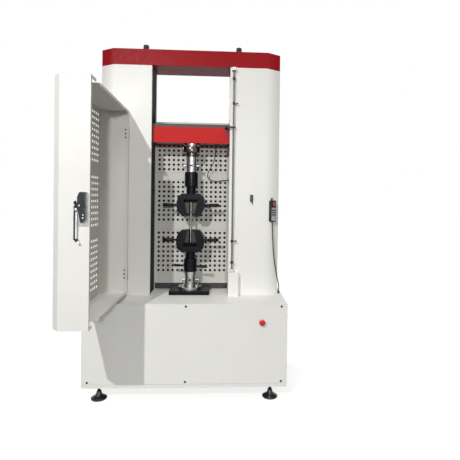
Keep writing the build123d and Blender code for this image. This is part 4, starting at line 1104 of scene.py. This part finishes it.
def dark_wall_behind_guard(gap, inset):
    """A dark sheet at the guard's rear face: painted shade, so its holes look dark. From behind the sheet
    isn't there.
    """
    lay_down()
    low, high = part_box("back_panels")
    facing = (math.radians(90), 0, 0)
    place = (0, high.y + gap, (low.z + high.z) / 2)
    bpy.ops.mesh.primitive_plane_add(size=1, location=place, rotation=facing)
    shade_sheet = bpy.context.object
    shade_sheet.scale = (high.x - low.x - 2 * inset, high.z - low.z - 2 * inset, 1)
    set_place()
    shade_sheet.name = "stage_painted_shade"
    material = bpy.data.materials.new("stage_painted_shade")
    material.use_nodes = True
    tree = material.node_tree
    shader = tree.nodes["Principled BSDF"]
    # Near black: painted shade seen through the guard's holes.
    shader.inputs["Base Color"].default_value = (0.012, 0.011, 0.010, 1)
    shader.inputs["Roughness"].default_value = 0.9
    nothing = tree.nodes.new("ShaderNodeBsdfTransparent")
    side = tree.nodes.new("ShaderNodeNewGeometry")
    mix = tree.nodes.new("ShaderNodeMixShader")
    tree.links.new(side.outputs["Backfacing"], mix.inputs["Fac"])
    tree.links.new(shader.outputs["BSDF"], mix.inputs[1])
    tree.links.new(nothing.outputs["BSDF"], mix.inputs[2])
    tree.links.new(mix.outputs["Shader"], tree.nodes["Material Output"].inputs["Surface"])
    shade_sheet.data.materials.append(material)
    shade_sheet.visible_diffuse = False
    shade_sheet.visible_glossy = False
    shade_sheet.visible_transmission = False
    shade_sheet.visible_shadow = False


def hung_light(kind, name, place, aim, power, colour):
    """A light of the given kind that hangs at its place and points at its aim."""
    lay_down()
    facing = (Vector(aim) - Vector(place)).to_track_quat("-Z", "Y").to_euler()
    bpy.ops.object.light_add(type=kind, location=place, rotation=facing)
    light = bpy.context.object
    light.name = name
    light.data.energy = power
    light.data.color = colour
    return light


def soft_box(name, place, aim, side, power):
    light = hung_light("AREA", name, place, aim, power, (1, 1, 1))
    light.data.shape = "SQUARE"
    light.data.size = side


def spotlight(name, place, aim, bulb, power, spread, colour):
    """A spotlight that fades all the way from its middle to its rim."""
    light = hung_light("SPOT", name, place, aim, power, colour)
    light.data.shadow_soft_size = bulb
    light.data.spot_size = math.radians(spread)
    light.data.spot_blend = 1.0


pale_floor(30, floor_finish(near_radius=1.1, far_radius=2.6, near_tone=0.35, near_glow=0.80))
white_backdrop(0.24)
dark_wall_behind_guard(gap=0.0006, inset=0.002)
spotlight("key_light", (-1.3, -4.2, 3.5), (0.0, -0.4, 0.5), 0.04, 505, 66, (1, 0.995, 0.98))
soft_box("front_light", (0.9, -9.0, 2.4), (0, 0, 1.2), 0.4, 240)
soft_box("top_light", (0.2, -0.8, 5.0), (0.2, -0.6, 0), 0.8, 45)
soft_box("rear_light", (-3.6, 5.4, 3.6), (0, 0, 1.2), 0.8, 320)
